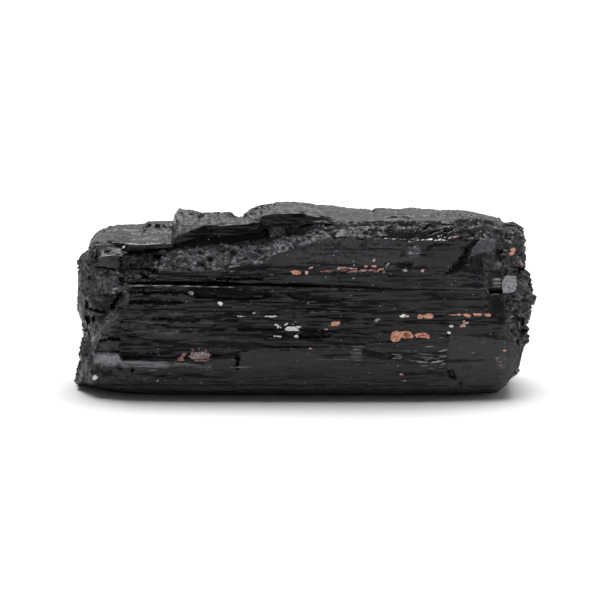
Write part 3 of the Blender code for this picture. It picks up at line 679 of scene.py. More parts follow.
def add(tree, kind, inputs=None, output=0, **settings):
    """Adds a node with its settings, gives each input its value or its link, and returns one output."""
    made = tree.nodes.new(kind)
    for name, value in settings.items():
        setattr(made, name, value)
    for key, value in (inputs or {}).items():
        if isinstance(value, bpy.types.NodeSocket):
            tree.links.new(value, made.inputs[key])
        else:
            made.inputs[key].default_value = value
    return made.outputs[output] if made.outputs else None


def unfinished(name):
    """A new material, its empty tree, and in that the place of each point in millimetres."""
    material = bpy.data.materials.new(name)
    material.use_nodes = True
    tree = material.node_tree
    tree.nodes.clear()
    metres = add(tree, "ShaderNodeTexCoord", output="Object")
    place = add(tree, "ShaderNodeVectorMath", {0: metres, 1: (1000, 1000, 1000)}, operation="MULTIPLY")
    return material, tree, place


def cell_lean(tree, place, cells_per_mm, steepness):
    """A random lean for each cell of a pattern, a little more often downward than up."""
    stretched = add(tree, "ShaderNodeVectorMath", {0: place, 1: cells_per_mm}, operation="MULTIPLY")
    cells = add(tree, "ShaderNodeTexVoronoi", {"Vector": stretched, "Scale": 1.0}, output="Color")
    centred = add(tree, "ShaderNodeVectorMath", {0: cells, 1: (0.5, 0.5, 0.58)}, operation="SUBTRACT")
    return add(tree, "ShaderNodeVectorMath", {0: centred, "Scale": steepness}, operation="SCALE")


def mottling(tree, place, cells_per_mm, detail, low, high, start=0.0, finish=1.0):
    """Cloudy noise with so many clouds to the millimetre each way, and low..high in it made start..finish."""
    stretched = add(tree, "ShaderNodeVectorMath", {0: place, 1: cells_per_mm}, operation="MULTIPLY")
    clouds = add(tree, "ShaderNodeTexNoise", {"Vector": stretched, "Scale": 1.0, "Detail": detail,
                                              "Roughness": 0.6}, output="Fac")
    return add(tree, "ShaderNodeMapRange", {"Value": clouds, "From Min": low, "From Max": high,
                                            "To Min": start, "To Max": finish})


def layered(tree, ground, layers):
    """A ground colour with other colours laid over it in turn, each by the share of it that shows."""
    colour = linear(ground)
    for share, over in layers:
        colour = add(tree, "ShaderNodeMix", {"Factor": share, "A": colour, "B": linear(over)},
                     output="Result", data_type="RGBA")
    return colour


def finish_with(tree, lean, looks):
    """Ends a material in one shader with these looks, on the surface's own normal plus the lean."""
    own_normal = add(tree, "ShaderNodeNewGeometry", output="Normal")
    leaning = add(tree, "ShaderNodeVectorMath", {0: own_normal, 1: lean}, operation="ADD")
    normal = add(tree, "ShaderNodeVectorMath", {0: leaning}, operation="NORMALIZE")
    shader = add(tree, "ShaderNodeBsdfPrincipled", {**looks, "Normal": normal})
    add(tree, "ShaderNodeOutputMaterial", {"Surface": shader})


# Rough schorl: glassy to resinous black, with hair-fine grooves along the crystal that break up the
# lamp's reflection, dull grey grains where it is crushed, and scattered pale specks. Grey frost and
# painted light pale it, and clean black and painted shade darken it. Sizes are cells per millimetre.
SCHORL_IOR = 1.63
FIBRES, FINE_FIBRES, CRUSHED_GRAINS = (0.12, 3.2, 3.2), (0.35, 6.0, 6.0), (1.8, 1.8, 1.8)
CLOUDS, GRIT, STREAKS, FLECKS = (0.35, 1.1, 1.1), (2.4, 2.4, 2.4), (0.3, 5.0, 5.0), (1.0, 4.0, 4.0)
SPECKS = (1.6, 2.2, 2.2)
schorl, tree, place = unfinished("black_schorl_rough")
crushed_here, smooth_here, frost_and_painted_light_here = [
    add(tree, "ShaderNodeAttribute", output="Fac", attribute_name=name)
    for name in ("crushed", "smooth", "frost_and_painted_light")]

whole_here = add(tree, "ShaderNodeMath", {0: 1.0, 1: crushed_here}, operation="SUBTRACT")
grooved = add(tree, "ShaderNodeMapRange", {"Value": smooth_here, "To Min": 0.3, "To Max": 0.12})
fibre_steepness = add(tree, "ShaderNodeMath", {0: whole_here, 1: grooved}, operation="MULTIPLY")
fine_steepness = add(tree, "ShaderNodeMath", {0: fibre_steepness, 1: 1.5}, operation="MULTIPLY")
grain_steepness = add(tree, "ShaderNodeMath", {0: crushed_here, 1: 0.9}, operation="MULTIPLY")
lean = cell_lean(tree, place, FIBRES, fibre_steepness)
for cells_per_mm, steepness in ((FINE_FIBRES, fine_steepness), (CRUSHED_GRAINS, grain_steepness)):
    more = cell_lean(tree, place, cells_per_mm, steepness)
    lean = add(tree, "ShaderNodeVectorMath", {0: lean, 1: more}, operation="ADD")

clouds = mottling(tree, place, CLOUDS, 4.0, 0.35, 0.65)
grit = mottling(tree, place, GRIT, 3.0, 0.4, 0.7)
crushed_grit = add(tree, "ShaderNodeMath", {0: grit, 1: crushed_here}, operation="MULTIPLY")
clean_and_shade_share = add(tree, "ShaderNodeMath", {0: frost_and_painted_light_here, 1: -1.0}, operation="MULTIPLY")
# Scattered pale specks: the few cells of a fine pattern whose lot is highest, near their middles.
stretched = add(tree, "ShaderNodeVectorMath", {0: place, 1: SPECKS}, operation="MULTIPLY")
speck_cells = add(tree, "ShaderNodeTexVoronoi", {"Vector": stretched, "Scale": 1.0}, output="Color")
speck_lot = add(tree, "ShaderNodeSeparateColor", {"Color": speck_cells})
speck_chosen = add(tree, "ShaderNodeMapRange", {"Value": speck_lot, "From Min": 0.94, "From Max": 0.99})
speck_close = add(tree, "ShaderNodeMapRange", {"Value": speck_cells.node.outputs["Distance"],
                                              "From Min": 0.3, "From Max": 0.2})
pale_specks = add(tree, "ShaderNodeMath", {0: speck_chosen, 1: speck_close}, operation="MULTIPLY")
fleck_shapes = mottling(tree, place, FLECKS, 4.0, 0.6, 0.68)
fleck_places = add(tree, "ShaderNodeMapRange", {"Value": frost_and_painted_light_here, "From Min": 0.04, "From Max": 0.06,
                                                "To Max": 0.25})
flecks = add(tree, "ShaderNodeMath", {0: fleck_shapes, 1: fleck_places}, operation="MULTIPLY")
streaks = mottling(tree, place, STREAKS, 3.0, 0.35, 0.65, 0.3, 1.0)
frost_and_highlight_streaks = add(tree, "ShaderNodeMath", {0: frost_and_painted_light_here, 1: streaks}, operation="MULTIPLY")
frost_and_highlight_share = add(tree, "ShaderNodeMath", {0: frost_and_highlight_streaks, 1: flecks}, operation="MAXIMUM")
# Over the ground: random clouds, grey grit where crushed, black where clean or in painted shade, pale specks,
# and grey where frosted or in painted light.
finish_with(tree, lean, {
    "Base Color": layered(tree, "#1a191d", [
        (clouds, "#28272c"), (crushed_grit, "#5b5a5f"), (clean_and_shade_share, "#060607"), (pale_specks, "#77757a"),
        (frost_and_highlight_share, "#98969b")]),
    "Roughness": add(tree, "ShaderNodeMapRange", {"Value": crushed_here, "To Min": 0.22, "To Max": 0.4}),
    "IOR": SCHORL_IOR, "Specular IOR Level": 0.17})
stone_mesh.materials.append(schorl)

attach(stone, "root")
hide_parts("tourmaline_crystal")

# ---------------------------------------------------------------------------------------------
# Splinters: thin ledges of fresh, glassy schorl that stand along the lips of breaks in the bundle.
# Each is a sliver of three-cornered section seated in the stone, and its sloping top mirrors the lamp;
# the white on it is painted highlight.
# ---------------------------------------------------------------------------------------------

SPLINTER_STATIONS = 10
END_TAPER, TAPERED_TO = 0.2, 0.06  # share of its length that tapers at each end, and the height left there
UNEVENNESS, WANDER = 0.4, 0.25  # shares of its height that the height varies by, and that its line strays by
SEAT = 0.1  # millimetres by which a splinter's upper edge lies in the stone
LEDGE_SLOPE = 0.95  # how far a splinter's lower edge stands out, for each millimetre that its top shows

# Both ends on the sheet, across and down, the height that shows of the sloping top, all in squares, and
# how much white painted highlight it carries, from 0 for black glass to 1 for white.
SPLINTERS = [
    # The fan of bright edges beside the corner block.
    (423.5, 346.6, 436, 346.1, 1.2, 0.85), (437.5, 351.7, 448, 349.4, 1.4, 0.85),
    (415.8, 353.1, 436, 354.7, 1, 0.85), (438.5, 356.4, 447.3, 356.2, 1.3, 0.85),
    (420, 357.1, 435.5, 358.2, 1, 0.85), (416.2, 361.5, 429.4, 362.3, 1.3, 0.85),
    (429.6, 362.9, 444.4, 360.3, 1.7, 0.85), (419.4, 365.4, 428.8, 365.2, 1.2, 0.85),
    (440.4, 364.8, 445.8, 362.6, 1.4, 0.85), (428, 368.7, 436, 368.3, 0.9, 0.85),
    (437.6, 367.3, 446, 366.6, 0.9, 0.85), (391, 354, 402.4, 354.9, 0.8, 0.85),
    (391.6, 358.5, 403, 358.1, 0.8, 0.85), (404, 350.2, 412, 350.7, 0.7, 0.85),
    (440, 333.4, 447, 333.8, 0.7, 0.85), (438.6, 337.2, 444.6, 337.8, 0.8, 0.85),
    (394, 356.3, 404, 356.6, 0.8, 0.6), (421.6, 350.2, 432, 350.5, 0.8, 0.6),
    (424, 360, 431, 359.6, 0.8, 0.7), (433, 358.9, 441, 358.4, 0.8, 0.6),
    # The rungs to the left of it, and the long edges of the smooth band.
    (351.6, 346.2, 364.5, 346.6, 1.2, 0.5), (352, 349.7, 363, 349.3, 1.2, 0.5),
    (352.6, 353, 362.4, 353.2, 1.4, 0.5), (353, 356.7, 361.4, 356.4, 1.2, 0.5),
    (352, 360, 361.4, 360.4, 1.1, 0.5), (353.6, 364, 360.4, 364.2, 1, 0.5),
    (312.6, 359.1, 333, 359.4, 1, 0.35), (331, 359.3, 352.6, 359.2, 1, 0.35),
    (298, 349.3, 326, 349.2, 0.8, 0.12), (324, 349.1, 352, 349.6, 0.8, 0.12),
    (242, 349.9, 272, 349.5, 0.8, 0.12),
    # The ends of the lower band, at the left, and the edge along the notch.
    (147.8, 370.1, 157.8, 369.9, 1.7, 0.5), (134, 369.4, 148, 369, 1, 0.5),
    (228.4, 367.5, 252.6, 366.8, 1, 0.5), (205, 369.6, 214, 369.2, 0.9, 0.5),
    (121, 361.2, 150, 361.3, 1.2, 0.5), (149, 361.5, 172, 362.6, 1.1, 0.5),
    (170, 363, 200, 364.8, 0.9, 0.5),
    # The upper lip of the slot.
    (125.6, 285.6, 150, 285.3, 1.8, 0.08), (148, 285.4, 176, 285.7, 1.3, 0.08),
    (174, 285.7, 206, 286.4, 1.1, 0.08), (203, 286.5, 238.6, 287.2, 0.9, 0.08),
    # The crest at the right, with its branches, and the dim ledge beyond.
    (384, 238.6, 388.4, 238.3, 0.6, 0.15), (392, 238.9, 395.6, 239, 0.7, 0.3),
    (399, 238.8, 402.2, 239.2, 0.8, 0.5), (403, 239.2, 406.6, 239.6, 0.8, 0.45),
    (407.4, 241.4, 412.6, 241.5, 0.9, 0.8), (413.4, 240.9, 415.4, 240.7, 0.8, 0.5),
    (416, 240.2, 419, 240, 0.9, 0.7), (420.6, 240, 424.2, 239.6, 1.1, 0.8),
    (424.8, 239.8, 427, 239.9, 0.9, 0.6), (427.2, 239.5, 432.6, 239.2, 1.5, 1),
    (434, 240.2, 437.6, 240.1, 1.2, 0.8), (437.8, 239.8, 441.2, 239.2, 1.7, 1),
    (441.6, 239.6, 445.4, 240.1, 1.3, 0.8), (446, 240.2, 448, 240.6, 0.9, 0.6),
    (448.6, 240.8, 452.4, 240.7, 0.8, 0.4), (453.4, 240.6, 459, 240.9, 0.7, 0.3),
    (437.4, 236.6, 439.6, 235.7, 1, 0.7), (440.6, 236.8, 442, 233.8, 0.9, 0.6),
    (443.4, 237.4, 446.4, 237.2, 0.8, 0.5), (448, 238.4, 451, 237.4, 0.8, 0.5),
    (452, 238.4, 455, 237, 1, 0.6), (461, 239.6, 476, 237.4, 0.7, 0.1),
    # The left block's corner and brow, and the left slab's lower edge.
    (96.6, 246, 93.8, 260.8, 1.3, 0.2), (103.4, 256.3, 127.4, 252.2, 0.8, 0.06),
    (110.4, 241.9, 124.6, 243.1, 0.7, 0.04), (123, 243, 140.6, 244.6, 0.9, 0.1),
    (138, 244.8, 165.6, 243.1, 0.7, 0.08),
    # Light rungs of the panel in the right end, and its rim.
    (492.2, 279.2, 502, 279.2, 2, 0.4), (492.6, 282.9, 502, 282.9, 1.8, 0.4),
    (493, 286.3, 502, 286.2, 1.4, 0.4), (484.6, 287, 489.2, 294.4, 1, 0.05),
    (489, 294.6, 501, 294.2, 1.1, 0.05), (502.6, 250.4, 508.4, 249.8, 1, 0.4),
    (502.4, 252.4, 508.2, 252, 1, 0.4),
    # Streaks on the left of the front.
    (142, 321.4, 165.4, 322.6, 1.2, 0.3), (145, 326.2, 166.6, 327, 1.1, 0.3),
    (152.6, 316.4, 170, 315.9, 1, 0.3), (178, 322.8, 186.6, 323.6, 0.9, 0.3),
    (130, 335.2, 140, 335.8, 0.9, 0.3), (214, 313.2, 226, 313.6, 0.8, 0.3),
    (233, 306.2, 247, 306.6, 0.8, 0.3), (160, 331.4, 176, 331.9, 0.8, 0.3),
    (330, 311.4, 341, 311.2, 0.8, 0.3), (340, 302.4, 356, 302.8, 0.7, 0.3),
    (306.4, 301.2, 318, 301.6, 0.8, 0.3),
]


def off_sheet(across, up, y):
    """The point at this depth that falls on this place of the sheet: on_sheet worked backwards."""
    cosine, sine = math.cos(CAMERA_ELEVATION), math.sin(CAMERA_ELEVATION)
    reach = CAMERA_DISTANCE + cosine * (y - AIM[1])
    away_z = (up * reach - CAMERA_DISTANCE * sine * (y - AIM[1])) / (CAMERA_DISTANCE * cosine + up * sine)
    away_x = across * (reach - sine * away_z) / CAMERA_DISTANCE
    return np.stack([away_x + AIM[0], y, away_z + AIM[2]], axis=-1)


NEAR = 0.6  # millimetres around a piece in which the skin below it is looked for


def seated(across, up):
    """Y of the stone's skin at places on the sheet: the foremost of the four grid points nearest to each."""
    close = skin[(skin[:, 0] > across.min() - NEAR) & (skin[:, 0] < across.max() + NEAR)
                 & (skin[:, 1] > up.min() - NEAR) & (skin[:, 1] < up.max() + NEAR)]
    away = np.hypot(close[:, 0] - across[:, None], close[:, 1] - up[:, None])
    return close[np.argpartition(away, 3, axis=1)[:, :4], 2].min(axis=1)


def splinter(left, right, height, salt):
    """Points and quads of one splinter between two places on the sheet, all in millimetres.

    Its top is as high as given over its middle, give or take a fifth, and tapers over each end fifth.
    The upper edge runs straight, at the depth of the straight line nearest to the skin.
    """
    share = np.linspace(0, 1, SPLINTER_STATIONS)
    uneven = hashed(np.stack([np.arange(SPLINTER_STATIONS), np.full(SPLINTER_STATIONS, salt),
                              np.zeros(SPLINTER_STATIONS)], axis=-1), 80) - 0.5
    taper = np.clip(np.minimum(share, 1 - share) / END_TAPER, TAPERED_TO, 1)
    tall = height * taper * (1 + UNEVENNESS * uneven)
    (x0, z0), (x1, z1) = left, right
    run, rise = x1 - x0, z1 - z0
    length = math.hypot(run, rise)
    middle = np.stack([x0 + run * share, z0 + rise * share]) + WANDER * height * uneven
    square = np.array([[-rise / length], [run / length]]) * tall / 2
    upper, lower = middle + square, middle - square
    depth = np.polyval(np.polyfit(share, seated(*middle), 1), share) + SEAT
    corners = (off_sheet(*lower, depth - SEAT - LEDGE_SLOPE * tall), off_sheet(*upper, depth),
               off_sheet(*lower, depth + 3 * SEAT))
    found = np.stack(corners, axis=1).reshape(-1, 3)
    here = np.arange(SPLINTER_STATIONS - 1)[:, None] * 3 + np.arange(3)
    beside = np.arange(SPLINTER_STATIONS - 1)[:, None] * 3 + (np.arange(3) + 1) % 3
    sides = np.stack([here, here + 3, beside + 3, beside], axis=-1).reshape(-1, 4)
    last = 3 * SPLINTER_STATIONS
    return found, sides.tolist() + [[0, 1, 2], [last - 3, last - 1, last - 2]]


def joined(name, parts):
    """One object from many (points, faces) pairs, with the points in millimetres."""
    every_point, every_face, start = [], [], 0
    for found, faces in parts:
        every_point.append(found)
        every_face += [[start + corner for corner in face] for face in faces]
        start += len(found)
    mesh = bpy.data.meshes.new(name)
    mesh.from_pydata((np.concatenate(every_point) * MM).tolist(), [], every_face)
    made = bpy.data.objects.new(name, mesh)
    bpy.context.scene.collection.objects.link(made)
    return made


splinters = joined("fresh_splinters", [
    splinter(*measured([row[:2], row[2:4]]), SQUARE * row[4], salt) for salt, row in enumerate(SPLINTERS)])
glint_paint_layer = splinters.data.attributes.new("painted_glint", "FLOAT", "POINT")
glint_paint_layer.data.foreach_set("value", np.repeat([row[5] for row in SPLINTERS], 3 * SPLINTER_STATIONS))

# Freshly broken schorl: glassy, and white where a splinter carries painted highlight to glint.
fresh, tree, place = unfinished("black_schorl_fresh")
painted_glint_here = add(tree, "ShaderNodeAttribute", output="Fac", attribute_name="painted_glint")
patches = mottling(tree, place, (1.5, 4.0, 4.0), 2.0, 0.3, 0.7, 0.6, 1.0)
painted_glint = add(tree, "ShaderNodeMath", {0: painted_glint_here, 1: patches}, operation="MULTIPLY")
finish_with(tree, cell_lean(tree, place, (1.1, 4.0, 4.0), 0.3), {
    "Base Color": layered(tree, "#242428", [(painted_glint, "#f0eef1")]), "Roughness": 0.3, "IOR": SCHORL_IOR})
splinters.data.materials.append(fresh)
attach(splinters, "root")

# ---------------------------------------------------------------------------------------------
# Grains of other minerals, grown into the stone and broken off level with it: orange feldspar with rust
# on it, mauve, red, rose and white feldspar, and grey scales of mica. Each is a thin plate let in.
# ---------------------------------------------------------------------------------------------

OUTLINE_STEP, OUTLINE_WANDER = 0.13, 0.14  # millimetres
PLATE_DEPTH = 0.45  # millimetres
LIFT_SHARE, MOST_LIFT = 0.67, 0.5  # a plate's lift as a share of the skin's unevenness, and at most in mm
STEADY = 1.2  # how strongly a small plate is kept upright, in millimetres of its own size

# Corners of each grain on the sheet.
OCHRE = [
    [(291.2, 271), (294, 270.2), (298, 270.4), (300.8, 271.6), (300.6, 274.2), (297, 275), (293.5, 274.6),
     (291.6, 273.2)],
    [(376.6, 270.8), (379, 268.8), (383.8, 268.2), (384, 269.8), (380, 270.2), (378, 271.6)],
    [(417.6, 317.8), (418, 315), (420, 314.2), (424, 315.4), (426.6, 313.8), (431.6, 313.6), (433.6, 316),
     (432.4, 318.4), (428, 318.8), (423.6, 317.6), (420, 318.8), (417.8, 318.8)],
    [(448.3, 314), (452, 314.4), (458, 314), (461.6, 313.8), (461.6, 315), (456, 315.4), (449, 315)],
    [(462.8, 313.9), (466, 313.5), (469.6, 314.5), (471.4, 315.4), (468.6, 317.4), (465.6, 316.8),
     (463, 315.4)],
    [(473.2, 313.4), (478, 313.5), (481.6, 313), (482.2, 315.4), (478, 315.9), (474, 315.5)],
    [(483.6, 314.2), (486, 314), (489, 313.2), (491.4, 315), (489.8, 316.8), (485, 316.5)],
    [(390.8, 337.2), (391.4, 333.8), (393.4, 331.6), (396.6, 330.8), (400, 331.8), (403, 331.4),
     (406.6, 330.8), (410.4, 332.2), (413.2, 334.8), (413.6, 336.8), (411.6, 338.4), (408, 337.8),
     (404.6, 338.6), (402, 337.4), (400.6, 338), (400, 341), (396, 341.6), (393, 341.8), (391.4, 340)],
    [(415.2, 334.8), (416.6, 333.2), (420.4, 333.4), (422, 332.6), (425.6, 333), (429, 335), (429.8, 337.4),
     (428.4, 339.2), (426, 337.6), (421, 337.4), (416, 337.8)],
    [(331, 323.8), (332, 321.6), (334.4, 321.8), (336.4, 320.9), (339.8, 321.2), (340.2, 323.6),
     (338.8, 325.4), (336, 326), (333.8, 325.2), (332.4, 326.6), (331.6, 325.4)],
    [(509.4, 253.4), (510, 249.8), (512, 247.8), (514.6, 247.8), (515.6, 250), (514.4, 253.4), (512, 255.6),
     (510, 255.6)],
    [(401.6, 316.8), (403.4, 315), (406, 314.8), (407, 316.4), (405, 317.6), (402.6, 317.6)],
    [(502.7, 350.6), (504.6, 349), (507, 349.8), (506.4, 351.6), (504, 352)],
]
RUST = [
    [(403.2, 334.6), (405.4, 332.8), (408.6, 333), (411, 335.4), (408.6, 337.2), (405, 336.8)],
    [(394.6, 339.4), (398, 338.6), (397.4, 340.2), (395.4, 340.4)],
    [(419, 335.4), (422, 334.8), (424.6, 335.8), (421.6, 336.6)],
    [(334.6, 323), (336.6, 322), (338, 323.4), (336.6, 325)],
    [(511.6, 250.6), (513.4, 249.8), (513.8, 251.8), (512, 254)],
    [(340.2, 270.4), (346.6, 269.2), (346.8, 270.2), (343, 271)],
]
MAUVE = [
    [(188.8, 356.4), (190.6, 354.6), (193.4, 353), (198, 351.8), (204, 352), (208, 353.6), (211.4, 354.6),
     (209.6, 356.6), (209.4, 358.6), (203, 359.4), (196, 359.6), (191, 359)],
]
RED = [
    [(191, 350.2), (192.6, 349), (194, 349.8), (192.6, 350.8)],
    [(197.4, 349.4), (199, 348), (200.6, 349), (199, 350)],
    [(205, 349.8), (206.6, 349.2), (207.6, 350.4), (206, 351)],
    [(180.8, 355.8), (183, 353), (186.6, 352.4), (186.8, 354), (184.6, 356), (183.6, 359), (184.6, 361),
     (181, 362.8), (178.4, 362.2), (177, 358.4), (178.6, 357.8)],
    [(194, 360.2), (200, 360), (206, 360), (209.6, 358.8), (209.4, 360), (206, 361.4), (200, 361.2),
     (195, 361.4)],
    [(190, 354.4), (191.6, 352.4), (194.6, 350.8), (194, 352.2), (192, 354)],
    [(203.4, 350.8), (206.6, 351.4), (209, 352.8), (206.4, 352.4)],
    [(347.4, 272), (350, 271), (353, 270.4), (354, 269.6), (357, 270.2), (357.2, 272.1), (352, 272.5),
     (347.6, 272.7)],
    [(367, 269.7), (372, 269.1), (375, 269.9), (377.4, 271.3), (376, 272.2), (373.4, 271.2), (368, 270.6)],
    [(320, 271), (324, 270.6), (330, 270.4), (332.2, 269.6), (333, 268.4), (332.8, 270.6), (331.6, 272.2),
     (329, 272.6), (325, 271.9), (320.2, 272.2)],
]
ROSE = [
    [(336.8, 268.8), (338.4, 267.2), (341, 266.6), (345.6, 266.8), (346.8, 267.6), (344, 268.8), (340, 269.5),
     (337.2, 269.5)],
    [(305.2, 271.4), (307, 270.8), (308.4, 272), (308, 274), (306.4, 274.8), (305, 273.4)],
    [(308.2, 268.6), (310.4, 266.8), (313.8, 266.6), (312, 268.4), (310, 269.4)],
    [(346.4, 267.5), (352, 267.7), (357, 268.3), (357, 269.3), (351, 269.1), (346.6, 268.5)],
    [(358.4, 271.2), (361, 269.6), (365, 269.2), (367.2, 270), (364, 271.5), (359, 271.9)],
    [(364, 265.8), (366, 265.2), (368.2, 265.6), (368, 267.2), (365, 267.4)],
    [(370.8, 267.2), (372.6, 265.4), (376, 265.2), (377.6, 266.6), (375, 267.6)],
    [(372.6, 259.6), (374.4, 258.8), (375.6, 260), (374.6, 261.8), (373, 261.4)],
    [(459.4, 326.6), (461, 324.6), (463.4, 323.6), (462.6, 320.6), (464.4, 320), (465.6, 321.6),
     (467.4, 321.6), (469.4, 322.4), (468, 323.6), (465.6, 324), (465.4, 326.6), (462.6, 327.2)],
    [(323.6, 328.8), (326, 328), (328.8, 329), (326.4, 330.1), (324.2, 329.9)],
    [(519, 261), (521.6, 259.2), (523.6, 262), (524, 266), (521, 265.4)],
    [(516.2, 256.6), (518, 255.8), (519.4, 257.2), (517.6, 258.6)],
    [(528.4, 296), (530, 294), (532, 294.4), (532.2, 296.8), (530.2, 297.4)],
    [(308, 348.6), (310, 347.8), (312.6, 348.4), (312.4, 349.6), (309, 349.8)],
    [(399.4, 374.4), (401.4, 373.4), (403.6, 374), (403, 375.2), (400.4, 375.4)],
    [(401, 380.6), (405, 380.2), (407.6, 380.8), (404, 381.4)],
    [(420.6, 269.8), (422.4, 268.9), (424.6, 269.6), (423.6, 272), (421.4, 272.4)],
    [(451.9, 237), (455, 235.6), (460, 236), (457, 237.6)],
    [(186.2, 365.6), (187.4, 365), (188, 366.2), (186.8, 366.8)],
    [(496, 358), (498, 357), (498.6, 358.6), (497, 359.2)],
    [(499, 362), (501, 360.8), (501.6, 362.8)],
    [(500, 365.6), (502.4, 364.4), (502, 366.6)],
]
PALE = [
    [(399.2, 315.9), (401.6, 315.2), (403.6, 313.8), (405.2, 314.4), (407, 315.4), (409.4, 315.6),
     (409, 316.8), (405, 317.4), (402, 317.3), (399.4, 316.9)],
    [(448.8, 326), (450.4, 325), (453.6, 325.8), (452.8, 327.2), (450, 327.2)],
    [(447, 332.4), (449, 331.4), (451, 332.2), (450.4, 333.6), (448, 333.8)],
    [(284.4, 329.4), (286, 327.6), (288.4, 326.4), (293, 326.6), (297, 326.2), (301.4, 325.7),
     (301.6, 327.1), (298, 328.2), (296.8, 329), (298.4, 330.2), (300, 331), (299.6, 332.4), (297.4, 332.2),
     (295.4, 331), (290, 331.2), (286.4, 330.4)],
    [(284, 325.4), (285.2, 323.8), (287.6, 323), (287.4, 324.2), (285.4, 325.8)],
    [(264, 316.4), (267.6, 315.9), (273, 315.8), (275.4, 315.1), (276.2, 315.9), (278, 316.2), (276, 317),
     (271, 317.3), (266.6, 317)],
    [(273.2, 325.2), (275.6, 324), (277.4, 324.6), (281.4, 327.2), (281, 328.2), (278.6, 327.3),
     (277.6, 328.9), (276.9, 328.7), (277.3, 326.4), (276, 325.1)],
    [(272.8, 336), (275, 335.5), (278, 335.9), (281, 335.5), (282, 336.6), (280, 337.1), (277, 336.7),
     (273.6, 336.9)],
    [(293.6, 336.4), (295, 335), (297, 334.8), (298.5, 336.4), (297.6, 338), (296, 337.3), (294.2, 337.3)],
    [(217.8, 302.4), (219.4, 301.4), (221, 301.8), (222.8, 302.2), (222.4, 304.4), (220.6, 306), (219, 305),
     (218.2, 303.8)],
    [(236.6, 316.1), (241, 315.9), (245.6, 316.5), (241, 317)],
    [(252, 313), (254, 312.6), (256, 313.2), (254, 313.8)],
    [(92.4, 378), (93.4, 375.6), (95.4, 374.6), (96.6, 376.4), (98.2, 377), (97, 379.4), (94.6, 380.4),
     (93, 379.8)],
    [(121.8, 248.2), (123.4, 246), (125.6, 245.4), (124.6, 247.4), (122.6, 248.8)],
    [(515.4, 324), (517, 322.4), (519, 323), (518.4, 325), (516.4, 325.2)],
]
GREY = [
    MICA_SCALE,
    [(373.6, 321.4), (376, 319), (379.8, 318.2), (379.4, 320), (376, 322)],
    [(291.4, 323), (293, 323.4), (295, 324.8), (293.4, 324.8)],
    [(294.6, 321), (295.6, 320.8), (297, 322.6), (296, 322.6)],
    [(306.6, 302.6), (308.4, 302), (310.2, 302.4), (308.4, 303)],
    [(382.8, 271.8), (384.2, 271), (385.2, 272.2), (384, 273.2)],
    [(352, 262), (353.4, 260.6), (354.2, 261), (353, 262.4)],
    [(352.6, 264.8), (353.8, 264.4), (355, 265.6), (354, 266)],
    [(385.3, 267), (386, 264.8), (388, 263.2), (390.6, 262.8), (388.6, 264.2), (387, 265.8),
     (386.4, 267.4)],
    [(324.2, 277.2), (326, 276.5), (327.2, 277.2), (325.4, 278)],
    [(352, 278.4), (353.4, 277.7), (355, 278.2), (353.6, 279)],
    [(400.6, 269.8), (404, 269.2), (407.6, 269.4), (406.6, 271.8), (404.6, 271.8), (403, 270.6)],
    [(425, 269.6), (427.6, 269.2), (427, 270.4)],
    [(416.8, 253.4), (418, 252.7), (419.2, 252.6), (418.4, 254)],
    [(413.8, 247.4), (415, 246.4), (416.4, 246.7), (415, 247.9)],
    [(409.8, 252.6), (410.8, 250.8), (411.6, 251.2), (411.2, 254), (410.4, 254.2)],
    [(156, 381.4), (157.4, 379.6), (159.3, 379.7), (158, 381.6)],
    [(116.2, 272.4), (117.6, 271.4), (119.6, 273), (118.4, 274.6)],
    [(187.6, 292.4), (190, 290.9), (192, 291), (194, 293), (192.6, 295.8), (190.4, 295.4), (189, 293.6)],
    [(527.2, 299.4), (529, 298), (529.4, 299.6), (528, 301)],
    [(464, 234.4), (465.6, 233.6), (466, 234.8)],
    [(112.6, 288.6), (115, 287.4), (118.6, 287.8), (118, 289.6), (114, 290)],
    [(111.4, 292.4), (113, 291.4), (116, 292.6), (114, 293.8)],
]


def plate(corners, standing, salt):
    """Points and faces of one grain: a flat plate with a ragged outline.

    The outline is walked in equal steps, and each step is moved at random by up to half OUTLINE_WANDER.
    The plate lies in the plane nearest, in least squares, to the skin below its rim and below two smaller
    copies of its rim. It stands off that plane by the amount given and by LIFT_SHARE of the skin's own
    unevenness, up to MOST_LIFT.
    """
    closed = np.array(measured(corners + corners[:1]))
    walked = np.concatenate([[0], np.cumsum(np.hypot(*np.diff(closed, axis=0).T))])
    steps = np.arange(0, walked[-1] - OUTLINE_STEP / 2, OUTLINE_STEP)
    count = len(steps)
    cell = np.stack([np.arange(count), np.full(count, salt), np.zeros(count)], axis=-1)
    rim = np.stack([np.interp(steps, walked, closed[:, k]) + OUTLINE_WANDER * (hashed(cell, 90 + k) - 0.5)
                    for k in (0, 1)])
    if (rim[0] * np.roll(rim[1], -1) - rim[1] * np.roll(rim[0], -1)).sum() < 0:
        rim = rim[:, ::-1]
    middle = rim.mean(axis=1, keepdims=True)
    sampled = np.concatenate([middle + (rim - middle) * share for share in (1, 0.6, 0.2)], axis=1)
    depth = seated(*sampled)
    away = (sampled - middle).T
    steady = STEADY * math.sqrt(len(depth)) / 3
    upright = [[0, steady, 0], [0, 0, steady]]
    fitted = np.concatenate([np.column_stack([np.ones(len(depth)), away]), upright])
    lean = np.linalg.lstsq(fitted, np.concatenate([depth, [0, 0]]), rcond=None)[0]
    uneven = np.std(depth - fitted[:-2] @ lean)
    lift = standing + min(LIFT_SHARE * uneven, MOST_LIFT)
    y = lean[0] + lean[1] * (rim[0] - middle[0]) + lean[2] * (rim[1] - middle[1]) - lift
    found = np.concatenate([off_sheet(*rim, y), off_sheet(*rim, y + PLATE_DEPTH)])
    around, onward = np.arange(count), (np.arange(count) + 1) % count
    walls = np.stack([around, around + count, onward + count, onward], axis=-1)
    return found, [around.tolist(), (around[::-1] + count).tolist()] + walls.tolist()


